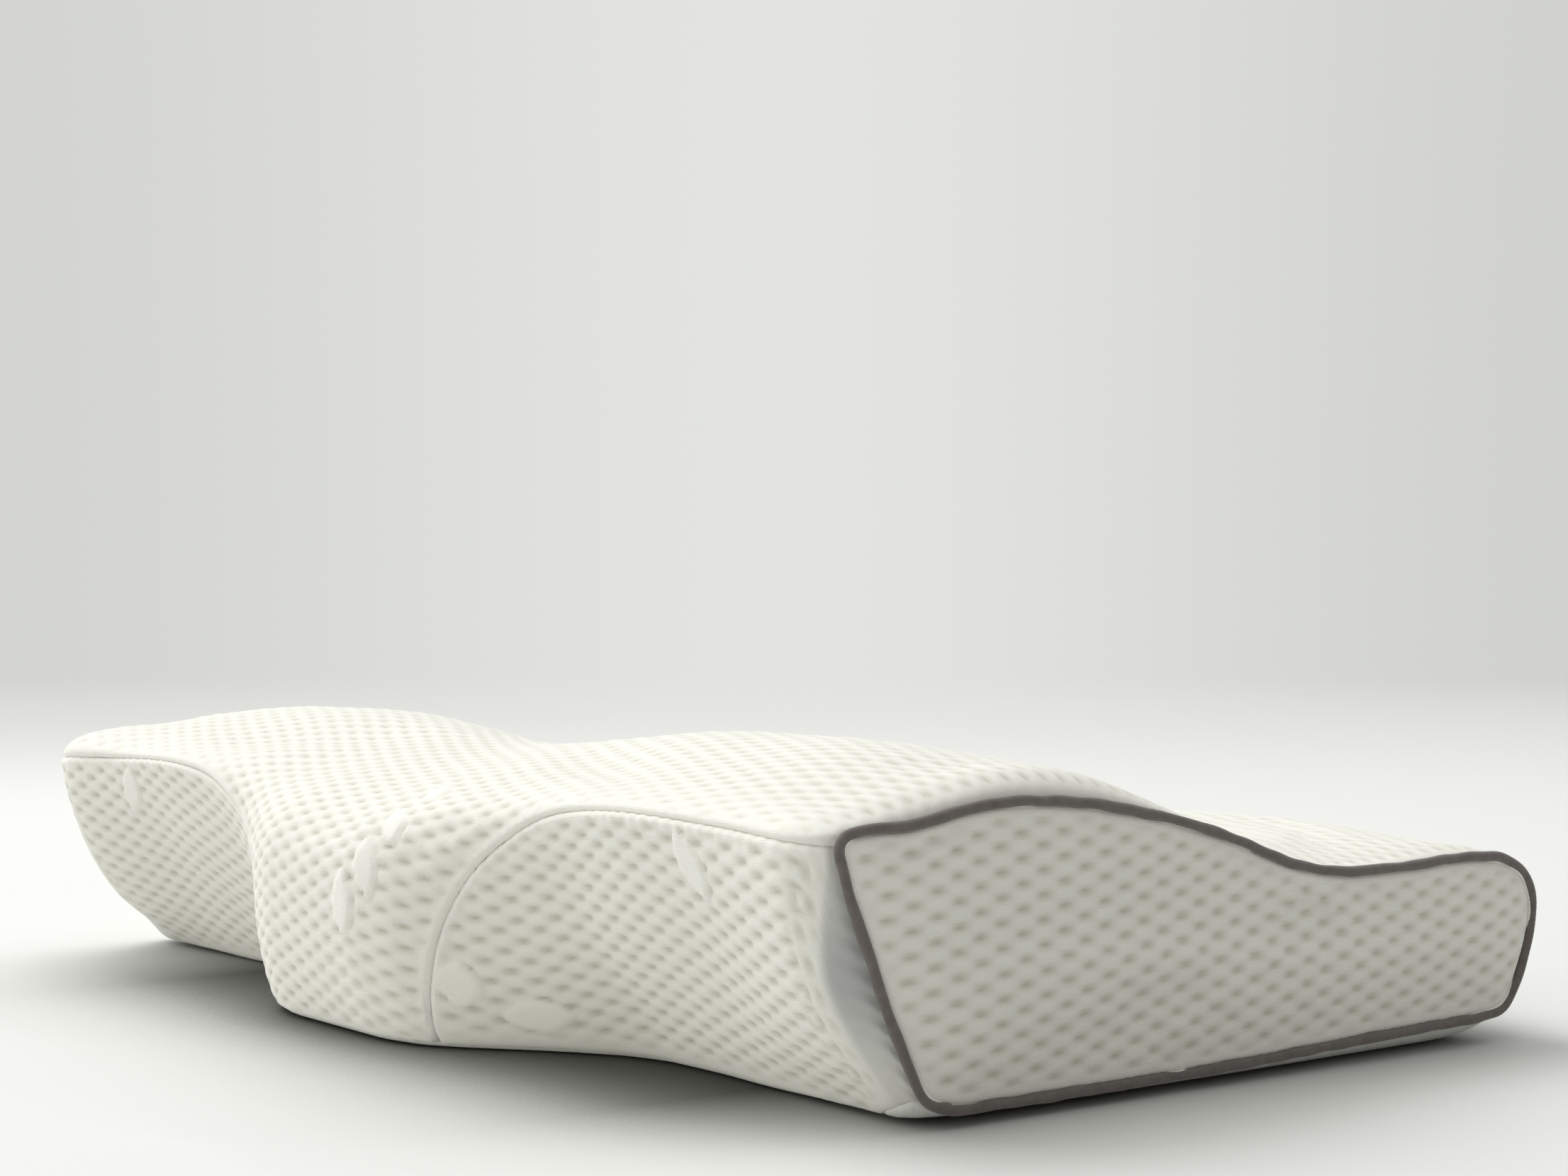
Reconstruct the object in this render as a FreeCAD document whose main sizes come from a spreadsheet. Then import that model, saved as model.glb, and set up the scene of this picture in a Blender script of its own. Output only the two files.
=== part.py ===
import FreeCAD, Part
import math
import os
import sys
from FreeCAD import Vector

# Butterfly contour pillow: a memory foam core in a knit liner and a sewn knit
# cover with piped end panels and a zipper low on the back face.
# Frame: X along the length, +Y from the front (neck) edge to the back, +Z up.
# The origin is the centre of the bounding box, on the surface it stands on.

doc = FreeCAD.newDocument("contour_pillow")
sheet = doc.addObject("Spreadsheet::Sheet", "Params")
sheet.Label = "Params"

_row = [1]


def cell(alias, value):
    r = _row[0]
    sheet.set("A%d" % r, alias)
    sheet.set("B%d" % r, "%.10g" % value)
    sheet.setAlias("B%d" % r, alias)
    _row[0] = r + 1


# ---- scalar sizes, mm -------------------------------------------------------
for alias, value in (
    ("y_shift", 13.46),        # moves the profile so that the box is centred
    ("x_piping", 293.0),       # plane of the piping loop at z = z_lean
    ("x_wing", 271.0),         # where the end rounding starts
    ("x_round", 290.2),        # and where it has closed in on the piping
    ("x_cover_end", 290.0),    # cut edge of the wrap-round panels
    ("lean", 0.07),            # outward lean of the end plane, per mm of height
    ("z_lean", 50.0),
    ("fabric", 2.6),           # quilted knit thickness
    ("base_fabric", 3.0),
    ("base_in", 3.3),          # inner face of the base where it turns up at the ends
    ("base_drop", 0.4),        # the form dips below the floor and is trimmed flat
    ("liner_out", 5.3),
    ("liner_in", 5.9),
    ("foam_in", 6.2),
    ("liner_end", 286.6),
    ("foam_end", 286.0),
    ("liner_split", 14.0),
    ("wrap_r", 1.9),
    ("wrap_inner", 1.3),
    ("filler_r", 1.1),
    ("end_thick", 3.0),
    ("end_inset", 2.35),       # panel edge to the centre of the piping
    ("zip_z", 40.0),           # height of the zipper's centre line
    ("zip_y", 166.0),          # outer face of the cover there, before y_shift
    ("zip_half", 200.0),       # half of the zipper's length between stops
    ("zip_open_half", 206.0),  # half of the opening in the cover
    ("zip_open", 11.0),        # width of the opening
    ("tape_depth", 3.0),       # outer face of the tape, below the cover's face
    ("tape_t", 0.6),
    ("tape_w", 12.0),
    ("tape_gap", 1.2),
    ("coil_w", 1.9),
    ("coil_t", 1.6),
    ("coil_lift", 0.15),       # stitching between coil and tape
    ("slider_len", 9.0),
    ("slider_w", 7.6),
    ("slider_top", 0.2),       # slider's top face, proud of the cover's face
    ("slider_plate", 1.1),
    ("slider_low", 4.05),      # lower plate's near face, below the cover's face
    ("slider_low_t", 0.7),
    ("web", 0.7),
    ("pin_gap", 0.85),         # pin axis above the slider's top face
    ("crown_t", 0.9),
    ("crown_w", 1.8),
    ("crown_half", 3.0),
    ("slider_rest", -193.0),   # slider's centre when the zipper is closed
    ("tab_len", 26.0),
    ("tab_w", 6.4),
    ("tab_t", 1.0),
    ("tab_pin_r", 0.65),
    ("tab_flat", 0.3),
    ("tab_eye_w", 3.0),
    ("tab_eye_far", 4.3),
    ("stop_len", 2.4),
):
    cell(alias, value)

# ---- section tables: (|x|, value), cm --------------------------------------
TABLES = {
    # front edge of the base
    "baseY": [(0, -18.75), (3, -18.75), (5.3, -18.35), (6.7, -17.6), (8.0, -16.6), (9.4, -15.45),
              (10.9, -14.4), (12.5, -13.5), (14.6, -13.0), (17, -12.95), (20, -13.1), (24, -13.4), (27.1, -13.6)],
    # foremost point of the front face and its height
    "noseY": [(0, -19.5), (3, -19.5), (5, -19.1), (7, -18.35), (9, -17.75), (11, -17.4), (14, -17.3),
              (18, -17.45), (23, -17.5), (27.1, -17.6)],
    "noseZ": [(0, 6.4), (4, 6.6), (8, 7.6), (12, 8.5), (16, 8.9), (22, 9.0), (27.1, 8.9)],
    # 0 = tight top front corner, 1 = broad shoulder
    "broad": [(0, 1.0), (5, 0.9), (9, 0.6), (13, 0.25), (17, 0.1), (27.1, 0.0)],
    # neck ridge, head valley and back ridge heights
    "ridgeZ": [(0, 10.35), (4, 10.45), (8, 10.85), (12, 11.25), (16, 11.45), (20, 11.5), (24, 11.4), (27.1, 11.15)],
    "valleyZ": [(0, 5.1), (4, 5.2), (8, 5.8), (12, 6.5), (16, 7.0), (20, 7.2), (24, 7.3), (27.1, 7.3)],
    "backZ": [(0, 7.1), (5, 7.1), (10, 7.3), (14, 7.45), (20, 7.5), (27.1, 7.45)],
}
for name in sorted(TABLES):
    for k, (x, v) in enumerate(TABLES[name]):
        cell("%s_x_%d" % (name, k), x)
        cell("%s_v_%d" % (name, k), v)

# ---- the end profile that the piping follows: (y, z), cm --------------------
END_PROFILE = [
    (-12.2, 0.62), (-13.15, 0.95), (-13.7, 1.75), (-14.6, 3.45), (-15.45, 5.3), (-16.2, 6.95), (-16.75, 8.25),
    (-17.05, 9.0), (-16.65, 9.42), (-15.6, 9.45), (-14.0, 9.48), (-12.5, 9.82), (-10.9, 10.06), (-9.0, 10.05),
    (-7.0, 9.88), (-5.0, 9.56), (-3.0, 9.14), (-1.0, 8.66), (1.0, 7.97), (3.0, 7.25), (5.0, 6.9), (7.0, 6.83),
    (9.0, 6.87), (11.0, 6.97), (13.0, 7.06), (14.7, 6.86), (15.9, 6.2), (16.35, 5.2), (16.3, 4.1), (16.0, 3.1),
    (15.55, 2.1), (14.95, 1.15), (13.6, 1.04), (9.5, 0.98), (5, 0.84), (1, 0.7), (-3, 0.63), (-7, 0.61),
    (-10, 0.6), (-11.3, 0.6)]
for k, (y, z) in enumerate(END_PROFILE):
    cell("end_y_%d" % k, y)
    cell("end_z_%d" % k, z)

doc.recompute()


def S(alias):
    return float(getattr(sheet, alias))


TAB = dict((n, [(S("%s_x_%d" % (n, k)), S("%s_v_%d" % (n, k))) for k in range(len(TABLES[n]))]) for n in TABLES)
END = [(S("end_y_%d" % k), S("end_z_%d" % k)) for k in range(len(END_PROFILE))]
NP = len(END)
AW = S("x_wing") / 10.0
AE = S("x_piping") / 10.0
AR = S("x_round") / 10.0


def table(tab, x):
    """Monotone cubic interpolation."""
    n = len(tab)
    if x <= tab[0][0]:
        return tab[0][1]
    if x >= tab[-1][0]:
        return tab[-1][1]
    i = 0
    while tab[i + 1][0] < x:
        i += 1
    xs = [p[0] for p in tab]
    ys = [p[1] for p in tab]
    d = [(ys[k + 1] - ys[k]) / (xs[k + 1] - xs[k]) for k in range(n - 1)]

    def m(k):
        if k == 0:
            return 0.0
        if k == n - 1:
            return d[-1]
        if d[k - 1] * d[k] <= 0:
            return 0.0
        w1 = 2 * (xs[k + 1] - xs[k]) + (xs[k] - xs[k - 1])
        w2 = (xs[k + 1] - xs[k]) + 2 * (xs[k] - xs[k - 1])
        return (w1 + w2) / (w1 / d[k - 1] + w2 / d[k])

    h = xs[i + 1] - xs[i]
    t = (x - xs[i]) / h
    return ((1 + 2 * t) * (1 - t) ** 2 * ys[i] + t * (1 - t) ** 2 * h * m(i)
            + t * t * (3 - 2 * t) * ys[i + 1] + t * t * (t - 1) * h * m(i + 1))


def wing_section(a):
    """Control polygon of the section at distance a from the middle, cm."""
    yb = table(TAB["baseY"], a)
    yt = table(TAB["noseY"], a)
    zt = table(TAB["noseZ"], a)
    rc = table(TAB["broad"], a)
    zr = table(TAB["ridgeZ"], a)
    zv = table(TAB["valleyZ"], a)
    zk = table(TAB["backZ"], a)
    # towards the piped ends the front face fills out
    q = max(0.0, min(1.0, (a - 19.0) / 8.1))
    q = q * q * (3 - 2 * q)
    P = [(yb + 1.3, 0.0), (yb + 0.42, 0.0), (yb - 0.02, 0.85)]
    for f in (0.24, 0.48, 0.72):
        bulge = 0.12 + 0.25 * rc + 0.95 * q
        P.append((yb - 0.02 + (yt - yb + 0.02) * f - bulge * math.sin(math.pi * f), 0.85 + (zt - 0.85) * f))
    P.append((yt - 0.08 * rc, zt - 0.25 * (1 - rc)))
    tight = [(yt, zt + 0.62), (yt + 0.75, zt + 0.92), (yt + 1.9, zt + 1.1), (yt + 3.4, zt + 0.5 * (zr - zt) + 0.35),
             (-12.2, zr - 0.42), (-10.6, zr - 0.06)]
    broad = [(yt + 0.25, zt + 1.25), (yt + 1.2, zt + 2.25), (yt + 2.9, zr - 0.95), (yt + 4.9, zr - 0.45),
             (-12.2, zr - 0.12), (-10.6, zr)]
    for p, q in zip(tight, broad):
        P.append((p[0] + (q[0] - p[0]) * rc, p[1] + (q[1] - p[1]) * rc))
    P.append((-8.8, zr))
    for y in (-7.0, -5.0, -3.0, -1.0, 1.0, 3.0, 5.0):
        t = (y + 8.8) / 15.2
        s = 0.5 * (t * t * (3 - 2 * t) + (math.sin((t - 0.5) * math.pi) + 1) / 2)
        P.append((y, zr + (zv - zr) * s))
    P += [(7.0, zv), (9.0, zv + (zk - zv) * 0.30), (11.0, zv + (zk - zv) * 0.80), (13.0, zk + 0.02),
          (14.8, zk - 0.25), (16.1, zk - 0.95), (16.6, zk - 1.95), (16.62, 4.35), (16.6, 3.3), (16.2, 2.1),
          (15.6, 0.8), (14.5, 0.0)]
    for k in range(1, 8):
        P.append((14.5 + (yb + 1.3 - 14.5) * k / 8.0, 0.0))
    return P


def section(a):
    a = abs(a)
    if a <= AW:
        return wing_section(a)
    W = wing_section(AW)
    t = min(1.0, (a - AW) / (AR - AW))
    c = math.sqrt(max(0.0, 1 - t * t))
    return [(e[0] + (w[0] - e[0]) * c, e[1] + (w[1] - e[1]) * c) for e, w in zip(END, W)]


def inset(P, d):
    """Moves a closed section's points inwards by d (cm)."""
    n = len(P)
    out = []
    for i in range(n):
        a = P[(i - 1) % n]
        b = P[(i + 1) % n]
        ty, tz = b[0] - a[0], b[1] - a[1]
        q = math.hypot(ty, tz)
        # the points run up the front, over the top and back along the base
        out.append((P[i][0] + d * tz / q, P[i][1] - d * ty / q))
    return out


def lean_x(x, z):
    return x + S("lean") * (z - S("z_lean") / 10.0) * (x / AE) * min(1.0, abs(x) / AE) ** 3


STATIONS = [0.0, 2.0, 4.0, 5.5, 6.75, 8.0, 9.25, 10.5, 12.0, 13.5, 15.5, 18.0, 20.5, 23.0, 25.5, 26.9, 27.6, 28.2, 28.65, 29.0]


def skin_solid(x_end, depth):
    """Closed solid whose skin lies depth (mm) inside the pillow's outer face."""
    xe = x_end / 10.0
    half = [x for x in STATIONS if x < xe - 0.1] + [xe]
    xs = [-x for x in reversed(half)] + half[1:]
    poles = []
    dy = S("y_shift")
    for x in xs:
        P = section(x)
        if depth:
            P = inset(P, depth / 10.0)
        else:
            # the base poles dip below the floor, so that the trim leaves a true plane
            t = max(0.0, min(1.0, (abs(x) - AW) / (AR - AW)))
            drop = S("base_drop") / 10.0 * math.sqrt(1 - t * t)
            P = [(y, z - drop) if (k < 2 or k > 31) else (y, z) for k, (y, z) in enumerate(P)]
        poles.append([Vector(10 * lean_x(x, z), 10 * y + dy, 10 * z) for y, z in P])
    m = len(xs)
    uk = list(range(m - 2))
    um = [4] + [1] * (m - 4) + [4]
    vk = list(range(NP + 1))
    vm = [1] * (NP + 1)
    surf = Part.BSplineSurface()
    surf.buildFromPolesMultsKnots(poles, um, vm, uk, vk, False, True, 3, 3)
    side = surf.toShape()
    caps = []
    for u in (surf.bounds()[0], surf.bounds()[1]):
        edge = surf.uIso(u).toShape()
        caps.append(Part.Face(Part.Wire([edge])))
    shell = Part.Shell([side] + caps)
    if not shell.isClosed():
        shell = Part.makeShell([side] + caps)
        shell.sewShape()
    solid = Part.Solid(shell)
    if solid.Volume < 0:
        solid = solid.reversed()
    return solid


def feature(name, shape):
    o = doc.addObject("Part::Feature", name)
    o.Label = name
    o.Shape = shape
    return o


def box(name, lx, ly, lz, px, py, pz):
    """A box with its sizes and place bound to the sheet."""
    o = doc.addObject("Part::Box", name)
    o.Label = name
    for prop, ex in (("Length", lx), ("Width", ly), ("Height", lz),
                     (".Placement.Base.x", px), (".Placement.Base.y", py), (".Placement.Base.z", pz)):
        o.setExpression(prop, ex)
    return o


def boolean(kind, name, base, tool):
    o = doc.addObject("Part::" + kind, name)
    o.Label = name
    o.Base = base
    o.Tool = tool
    return o


def mirror_x(name, source):
    o = doc.addObject("Part::Mirroring", name)
    o.Label = name
    o.Source = source
    o.Normal = Vector(1, 0, 0)
    o.Base = Vector(0, 0, 0)
    return o


KEEP = []


def node(obj, label=None):
    if label:
        obj.Label = label
    KEEP.append(obj)
    return obj


# ---- foam core and its liner -------------------------------------------------
foam = node(feature("foam_core", skin_solid(S("foam_end"), S("foam_in"))))
liner_o = feature("liner_outer_form", skin_solid(S("liner_end"), S("liner_out")))
liner_i = feature("liner_inner_form", skin_solid(S("foam_end"), S("liner_in")))
liner = boolean("Cut", "liner_shell", liner_o, liner_i)
low = box("liner_low_zone", "800", "500", "Params.liner_split", "-400", "-250", "0")
high = box("liner_high_zone", "800", "500", "200", "-400", "-250", "Params.liner_split")
node(boolean("Common", "liner_lower", liner, low))
node(boolean("Common", "liner_upper", liner, high))

# ---- cover: wrap-round shell cut into its sewn panels ------------------------
dipped = feature("cover_dipped_form", skin_solid(S("x_cover_end"), 0.0))
floor_zone = box("above_floor", "800", "500", "200", "-400", "-250", "0")
outer = boolean("Common", "cover_outer_form", dipped, floor_zone)
inner = feature("cover_inner_form", skin_solid(S("x_cover_end") + 2.0, S("fabric")))
tube = boolean("Cut", "cover_shell", outer, inner)


def under_zone():
    """Everything below the seam of the bottom panel, which rises at the piped ends."""
    t = S("base_fabric")
    k = 0.36
    x0 = 264.0
    zx = t + k * (340.0 - x0)
    pts = [(-340, -10), (340, -10), (340, zx), (x0, t), (-x0, t), (-340, zx)]
    w = Part.makePolygon([Vector(x, -260, z) for x, z in pts + pts[:1]])
    return Part.Face(w).extrude(Vector(0, 520, 0))


base_zone = feature("base_zone", under_zone())
base_inner = feature("base_inner_form", skin_solid(S("x_cover_end") + 2.0, S("base_in")))
base_block = boolean("Common", "base_block", outer, base_zone)
node(boolean("Cut", "bottom_panel", base_block, base_inner))
walls = boolean("Cut", "cover_walls", tube, base_zone)

# the wing panels' seam, seen from the front: (x, z), cm
SEAM = [(6.5, -1.0), (6.45, 0.3), (6.75, 2.0), (7.2, 3.6), (8.0, 5.3), (9.4, 6.9), (11.2, 8.0), (13.2, 8.8),
        (15.6, 9.25), (18.5, 9.42), (22.0, 9.35), (26.0, 9.2), (29.6, 8.95)]


def wing_zone():
    pts = [Vector(10 * x, -250.0, 10 * z) for x, z in SEAM]
    c = Part.BSplineCurve()
    c.interpolate(pts)
    last, first = pts[-1], pts[0]
    corner = Vector(last.x, -250.0, first.z)
    w = Part.Wire([c.toShape(), Part.makeLine(last, corner), Part.makeLine(corner, first)])
    return Part.Face(w).extrude(Vector(0, 250.0 + S("y_shift") - 115.0, 0))


wing_r = feature("wing_zone_right", wing_zone())
wing_l = mirror_x("wing_zone_left", wing_r)
node(boolean("Common", "front_wing_panel_right", walls, wing_r))
node(boolean("Common", "front_wing_panel_left", walls, wing_l))
walls2 = boolean("Cut", "walls_without_right", walls, wing_r)
walls3 = boolean("Cut", "walls_without_wings", walls2, wing_l)
opening = box("zip_opening", "2 * Params.zip_open_half", "60", "Params.zip_open",
              "-Params.zip_open_half", "Params.zip_y + Params.y_shift - 30", "Params.zip_z - Params.zip_open / 2")
walls4 = boolean("Cut", "walls_with_opening", walls3, opening)
strip_zone = box("strip_zone", "800", "80", "Params.zip_z + 10", "-400", "Params.y_shift + 130", "-10")
node(boolean("Common", "back_strip", walls4, strip_zone))
node(boolean("Cut", "top_panel", walls4, strip_zone))


# ---- end panels, piping -------------------------------------------------------
def end_curve(d, dx):
    """Closed curve of the end profile, inset by d and moved out by dx, mm."""
    P = inset(END, d / 10.0) if d else END
    dy = S("y_shift")
    pts = [Vector(10 * lean_x(AE, z) + dx, 10 * y + dy, 10 * z) for y, z in P]
    c = Part.BSplineCurve()
    c.buildFromPolesMultsKnots(pts, [1] * (NP + 1), list(range(NP + 1)), True, 3)
    return c


def rounded_loop(pts):
    """Closed path of straight runs joined by tangent arcs."""
    n = len(pts)
    seg = []
    for i in range(n):
        a, b, c = pts[i - 1], pts[i], pts[(i + 1) % n]
        u = (a - b).normalize()
        w = (c - b).normalize()
        run = min((a - b).Length, (c - b).Length)
        turn = math.pi - u.getAngle(w)
        tl = 0.45 * run
        p = b + u * tl
        q = b + w * tl
        r = tl / math.tan(turn / 2)
        bis = (u + w).normalize()
        mid = b + bis * (r / math.cos(turn / 2) - r)
        seg.append((p, mid, q))
    edges = []
    for i in range(n):
        p, mid, q = seg[i]
        edges.append(Part.Arc(p, mid, q).toShape())
        edges.append(Part.LineSegment(q, seg[(i + 1) % n][0]).toShape())
    return Part.Wire(edges)


def loop_points():
    """Points on the end profile, as dense as its own control points."""
    c = end_curve(0.0, 0.0)
    return [c.value(float(k)) for k in range(NP)]


LOOP = rounded_loop(loop_points())


def end_panel():
    """Flat panel inside the piping, in the loop's own leaning plane."""
    t = S("end_thick")
    w = LOOP.makeOffset2D(-S("end_inset"))
    if Part.Face(w).Area > Part.Face(LOOP).Area:
        w = LOOP.makeOffset2D(S("end_inset"))
    f = Part.Face(w)
    f.translate(Vector(-0.3 * t, 0, 0))
    return f.extrude(Vector(t, 0, 0))


panel_r = node(feature("end_panel_right", end_panel()))
node(mirror_x("end_panel_left", panel_r))
NORMAL = Vector(-1, 0, S("lean")).normalize()


def sweep(profile):
    """Runs a closed profile round the loop; the faces stay cylinders and tori."""
    s = LOOP.makePipe(Part.Face(profile))
    if s.ShapeType != "Solid":
        s = s.Solids[0]
    if s.Volume < 0:
        s = s.reversed()
    return s


def loop_frame():
    e = LOOP.Edges[0]
    p = e.valueAt(e.FirstParameter)
    t = e.tangentAt(e.FirstParameter)
    side = NORMAL.cross(t).normalize()
    # side points into the panel
    if (p + side * 5 - Vector(p.x, S("y_shift"), 50.0)).Length > (p - Vector(p.x, S("y_shift"), 50.0)).Length:
        side = side * -1
    return p, t, side


def ring_profile(r_in, r_out, half_deg):
    p, t, side = loop_frame()
    out = NORMAL * -1

    def at(r, deg):
        a = math.radians(deg)
        # 0 degrees looks into the pillow, where the seam allowance goes in
        d = (side - out).normalize()
        e = (side + out).normalize()
        return p + d * (r * math.cos(a)) + e * (r * math.sin(a))

    if r_in <= 0:
        c = Part.Circle(p, t, r_out)
        return Part.Wire([c.toShape()])
    h = half_deg
    e1 = Part.Arc(at(r_out, h), at(r_out, 180), at(r_out, -h)).toShape()
    e2 = Part.LineSegment(at(r_out, -h), at(r_in, -h)).toShape()
    e3 = Part.Arc(at(r_in, -h), at(r_in, 180), at(r_in, h)).toShape()
    e4 = Part.LineSegment(at(r_in, h), at(r_out, h)).toShape()
    return Part.Wire([e1, e2, e3, e4])


wrap = node(feature("piping_wrap_right", sweep(ring_profile(S("wrap_inner"), S("wrap_r"), 22.0))))
node(mirror_x("piping_wrap_left", wrap))
filler = node(feature("piping_filler_right", sweep(ring_profile(0.0, S("filler_r"), 0.0))))
node(mirror_x("piping_filler_left", filler))

# ---- zipper ------------------------------------------------------------------
FACE = "Params.zip_y + Params.y_shift"
tape_o = feature("tape_outer_form", skin_solid(240.0, S("tape_depth")))
tape_i = feature("tape_inner_form", skin_solid(245.0, S("tape_depth") + S("tape_t")))
tape_shell = boolean("Cut", "tape_shell", tape_o, tape_i)
for tag, z_ex in (("upper", "Params.zip_z + Params.tape_gap / 2"), ("lower", "Params.zip_z - Params.tape_gap / 2 - Params.tape_w")):
    zone = box("tape_zone_" + tag, "2 * Params.zip_open_half + 10", "60", "Params.tape_w",
               "-Params.zip_open_half - 5", FACE + " - 30", z_ex)
    node(boolean("Common", "zipper_tape_" + tag, tape_shell, zone))


def body_on(name, plane_role):
    b = doc.addObject("PartDesign::Body", name)
    b.Label = name
    doc.recompute()
    plane = [f for f in b.Origin.OriginFeatures if f.Role == plane_role][0]
    return b, plane


def sketch_on(body, plane, name):
    sk = body.newObject("Sketcher::SketchObject", name)
    sk.AttachmentSupport = [(plane, "")]
    sk.MapMode = "FlatFace"
    return sk


import Sketcher


def closed_lines(sk, pts):
    ids = []
    n = len(pts)
    for i in range(n):
        a, b = pts[i], pts[(i + 1) % n]
        ids.append(sk.addGeometry(Part.LineSegment(Vector(a[0], a[1], 0), Vector(b[0], b[1], 0)), False))
    for i in range(n):
        sk.addConstraint(Sketcher.Constraint("Coincident", ids[i], 2, ids[(i + 1) % n], 1))
    for i in range(n):
        a, b = pts[i], pts[(i + 1) % n]
        if abs(a[0] - b[0]) < 1e-9:
            sk.addConstraint(Sketcher.Constraint("Vertical", ids[i]))
        elif abs(a[1] - b[1]) < 1e-9:
            sk.addConstraint(Sketcher.Constraint("Horizontal", ids[i]))
    return ids


def bind(sk, kind, args, expr, name):
    """Adds a distance constraint at its present value and binds it to the sheet."""
    p = sk.getPoint(args[0], args[1])
    q = sk.getPoint(args[2], args[3])
    now = (q.x - p.x) if kind == "DistanceX" else (q.y - p.y)
    c = sk.addConstraint(Sketcher.Constraint(kind, args[0], args[1], args[2], args[3], now))
    sk.renameConstraint(c, name)
    sk.setExpression("Constraints." + name, expr)


def coil_body(name, sign):
    """Half-round coil bar, a sketch in the YZ plane padded both ways."""
    b, plane = body_on(name, "YZ_Plane")
    sk = sketch_on(b, plane, name + "_profile")
    yo = S("zip_y") + S("y_shift") - S("tape_depth") + S("coil_lift")
    z0 = S("zip_z") + sign * S("tape_gap") / 2
    z1 = z0 + sign * S("coil_w")
    ids = closed_lines(sk, [(yo, z0), (yo, z1), (yo + S("coil_t"), z1), (yo + S("coil_t"), z0)])
    bind(sk, "DistanceX", (-1, 1, ids[0], 1), FACE + " - Params.tape_depth + Params.coil_lift", "face")
    bind(sk, "DistanceY", (-1, 1, ids[0], 1), "Params.zip_z %s Params.tape_gap / 2" % ("+" if sign > 0 else "-"), "edge")
    bind(sk, "DistanceX", (ids[1], 1, ids[1], 2), "Params.coil_t", "thick")
    if sign > 0:
        bind(sk, "DistanceY", (ids[0], 1, ids[0], 2), "Params.coil_w", "width")
    else:
        bind(sk, "DistanceY", (ids[0], 2, ids[0], 1), "Params.coil_w", "width")
    pad = b.newObject("PartDesign::Pad", name + "_pad")
    pad.Profile = sk
    pad.Midplane = True
    pad.setExpression("Length", "2 * Params.zip_half - 4")
    sk.Visibility = False
    doc.recompute()
    # rounded outer edges
    edges = []
    for i, e in enumerate(pad.Shape.Edges):
        if e.Length > 100 and abs(e.BoundBox.YMin - (yo + S("coil_t"))) < 1e-4 and abs(e.BoundBox.YMax - (yo + S("coil_t"))) < 1e-4:
            edges.append("Edge%d" % (i + 1))
    f = b.newObject("PartDesign::Fillet", name + "_round")
    f.Base = (pad, edges)
    f.Radius = 0.6
    b.Tip = f
    return b


node(coil_body("zipper_coil_upper", 1))
node(coil_body("zipper_coil_lower", -1))


def slider_body():
    """Two plates joined by a thin web, with a crown that the tab's pin runs under."""
    b, plane = body_on("zipper_slider", "YZ_Plane")
    sk = sketch_on(b, plane, "slider_profile")
    f = S("zip_y") + S("y_shift")
    z = S("zip_z")
    top = f + S("slider_top")
    t1 = top - S("slider_plate")
    l1 = f - S("slider_low")
    l0 = l1 - S("slider_low_t")
    w = S("slider_w") / 2
    g = S("web") / 2
    pts = [(top, z + w), (t1, z + w), (t1, z + g), (l1, z + g), (l1, z + w), (l0, z + w), (l0, z - w), (l1, z - w),
           (l1, z - g), (t1, z - g), (t1, z - w), (top, z - w)]
    ids = closed_lines(sk, pts)
    bind(sk, "DistanceX", (-1, 1, ids[0], 1), FACE + " + Params.slider_top", "top")
    bind(sk, "DistanceX", (ids[0], 2, ids[0], 1), "Params.slider_plate", "plate")
    bind(sk, "DistanceX", (-1, 1, ids[2], 2), FACE + " - Params.slider_low", "low")
    bind(sk, "DistanceX", (ids[4], 2, ids[4], 1), "Params.slider_low_t", "lowt")
    bind(sk, "DistanceY", (ids[11], 1, ids[11], 2), "Params.slider_w", "wide")
    bind(sk, "DistanceY", (-1, 1, ids[11], 2), "Params.zip_z + Params.slider_w / 2", "mid")
    pad = b.newObject("PartDesign::Pad", "slider_pad")
    pad.Profile = sk
    pad.Midplane = True
    pad.setExpression("Length", "Params.slider_len")
    doc.recompute()
    # crown: an arch along X, drawn in the XY plane and padded round the centre line
    plane2 = [o for o in b.Origin.OriginFeatures if o.Role == "XY_Plane"][0]
    sk2 = sketch_on(b, plane2, "crown_profile")
    sk2.setExpression(".AttachmentOffset.Base.z", "Params.zip_z")
    ch = S("crown_half")
    ct = S("crown_t")
    pg = S("pin_gap")
    yi = top + 2 * pg
    yo = yi + ct
    arch = [(-ch, top - 0.3), (-ch, yo), (ch, yo), (ch, top - 0.3), (ch - ct, top - 0.3), (ch - ct, yi), (-ch + ct, yi),
            (-ch + ct, top - 0.3)]
    i2 = closed_lines(sk2, arch)
    bind(sk2, "DistanceX", (i2[1], 1, i2[1], 2), "2 * Params.crown_half", "span")
    bind(sk2, "DistanceY", (-1, 1, i2[1], 1), FACE + " + Params.slider_top + 2 * Params.pin_gap + Params.crown_t", "rise")
    bind(sk2, "DistanceY", (-1, 1, i2[5], 1), FACE + " + Params.slider_top + 2 * Params.pin_gap", "under")
    bind(sk2, "DistanceX", (i2[3], 2, i2[3], 1), "Params.crown_t", "leg")
    pad2 = b.newObject("PartDesign::Pad", "crown_pad")
    pad2.Profile = sk2
    pad2.Midplane = True
    pad2.setExpression("Length", "Params.crown_w")
    b.Tip = pad2
    doc.recompute()
    b.setExpression(".Placement.Base.x", "Params.slider_rest")
    return b


node(slider_body())


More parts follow.
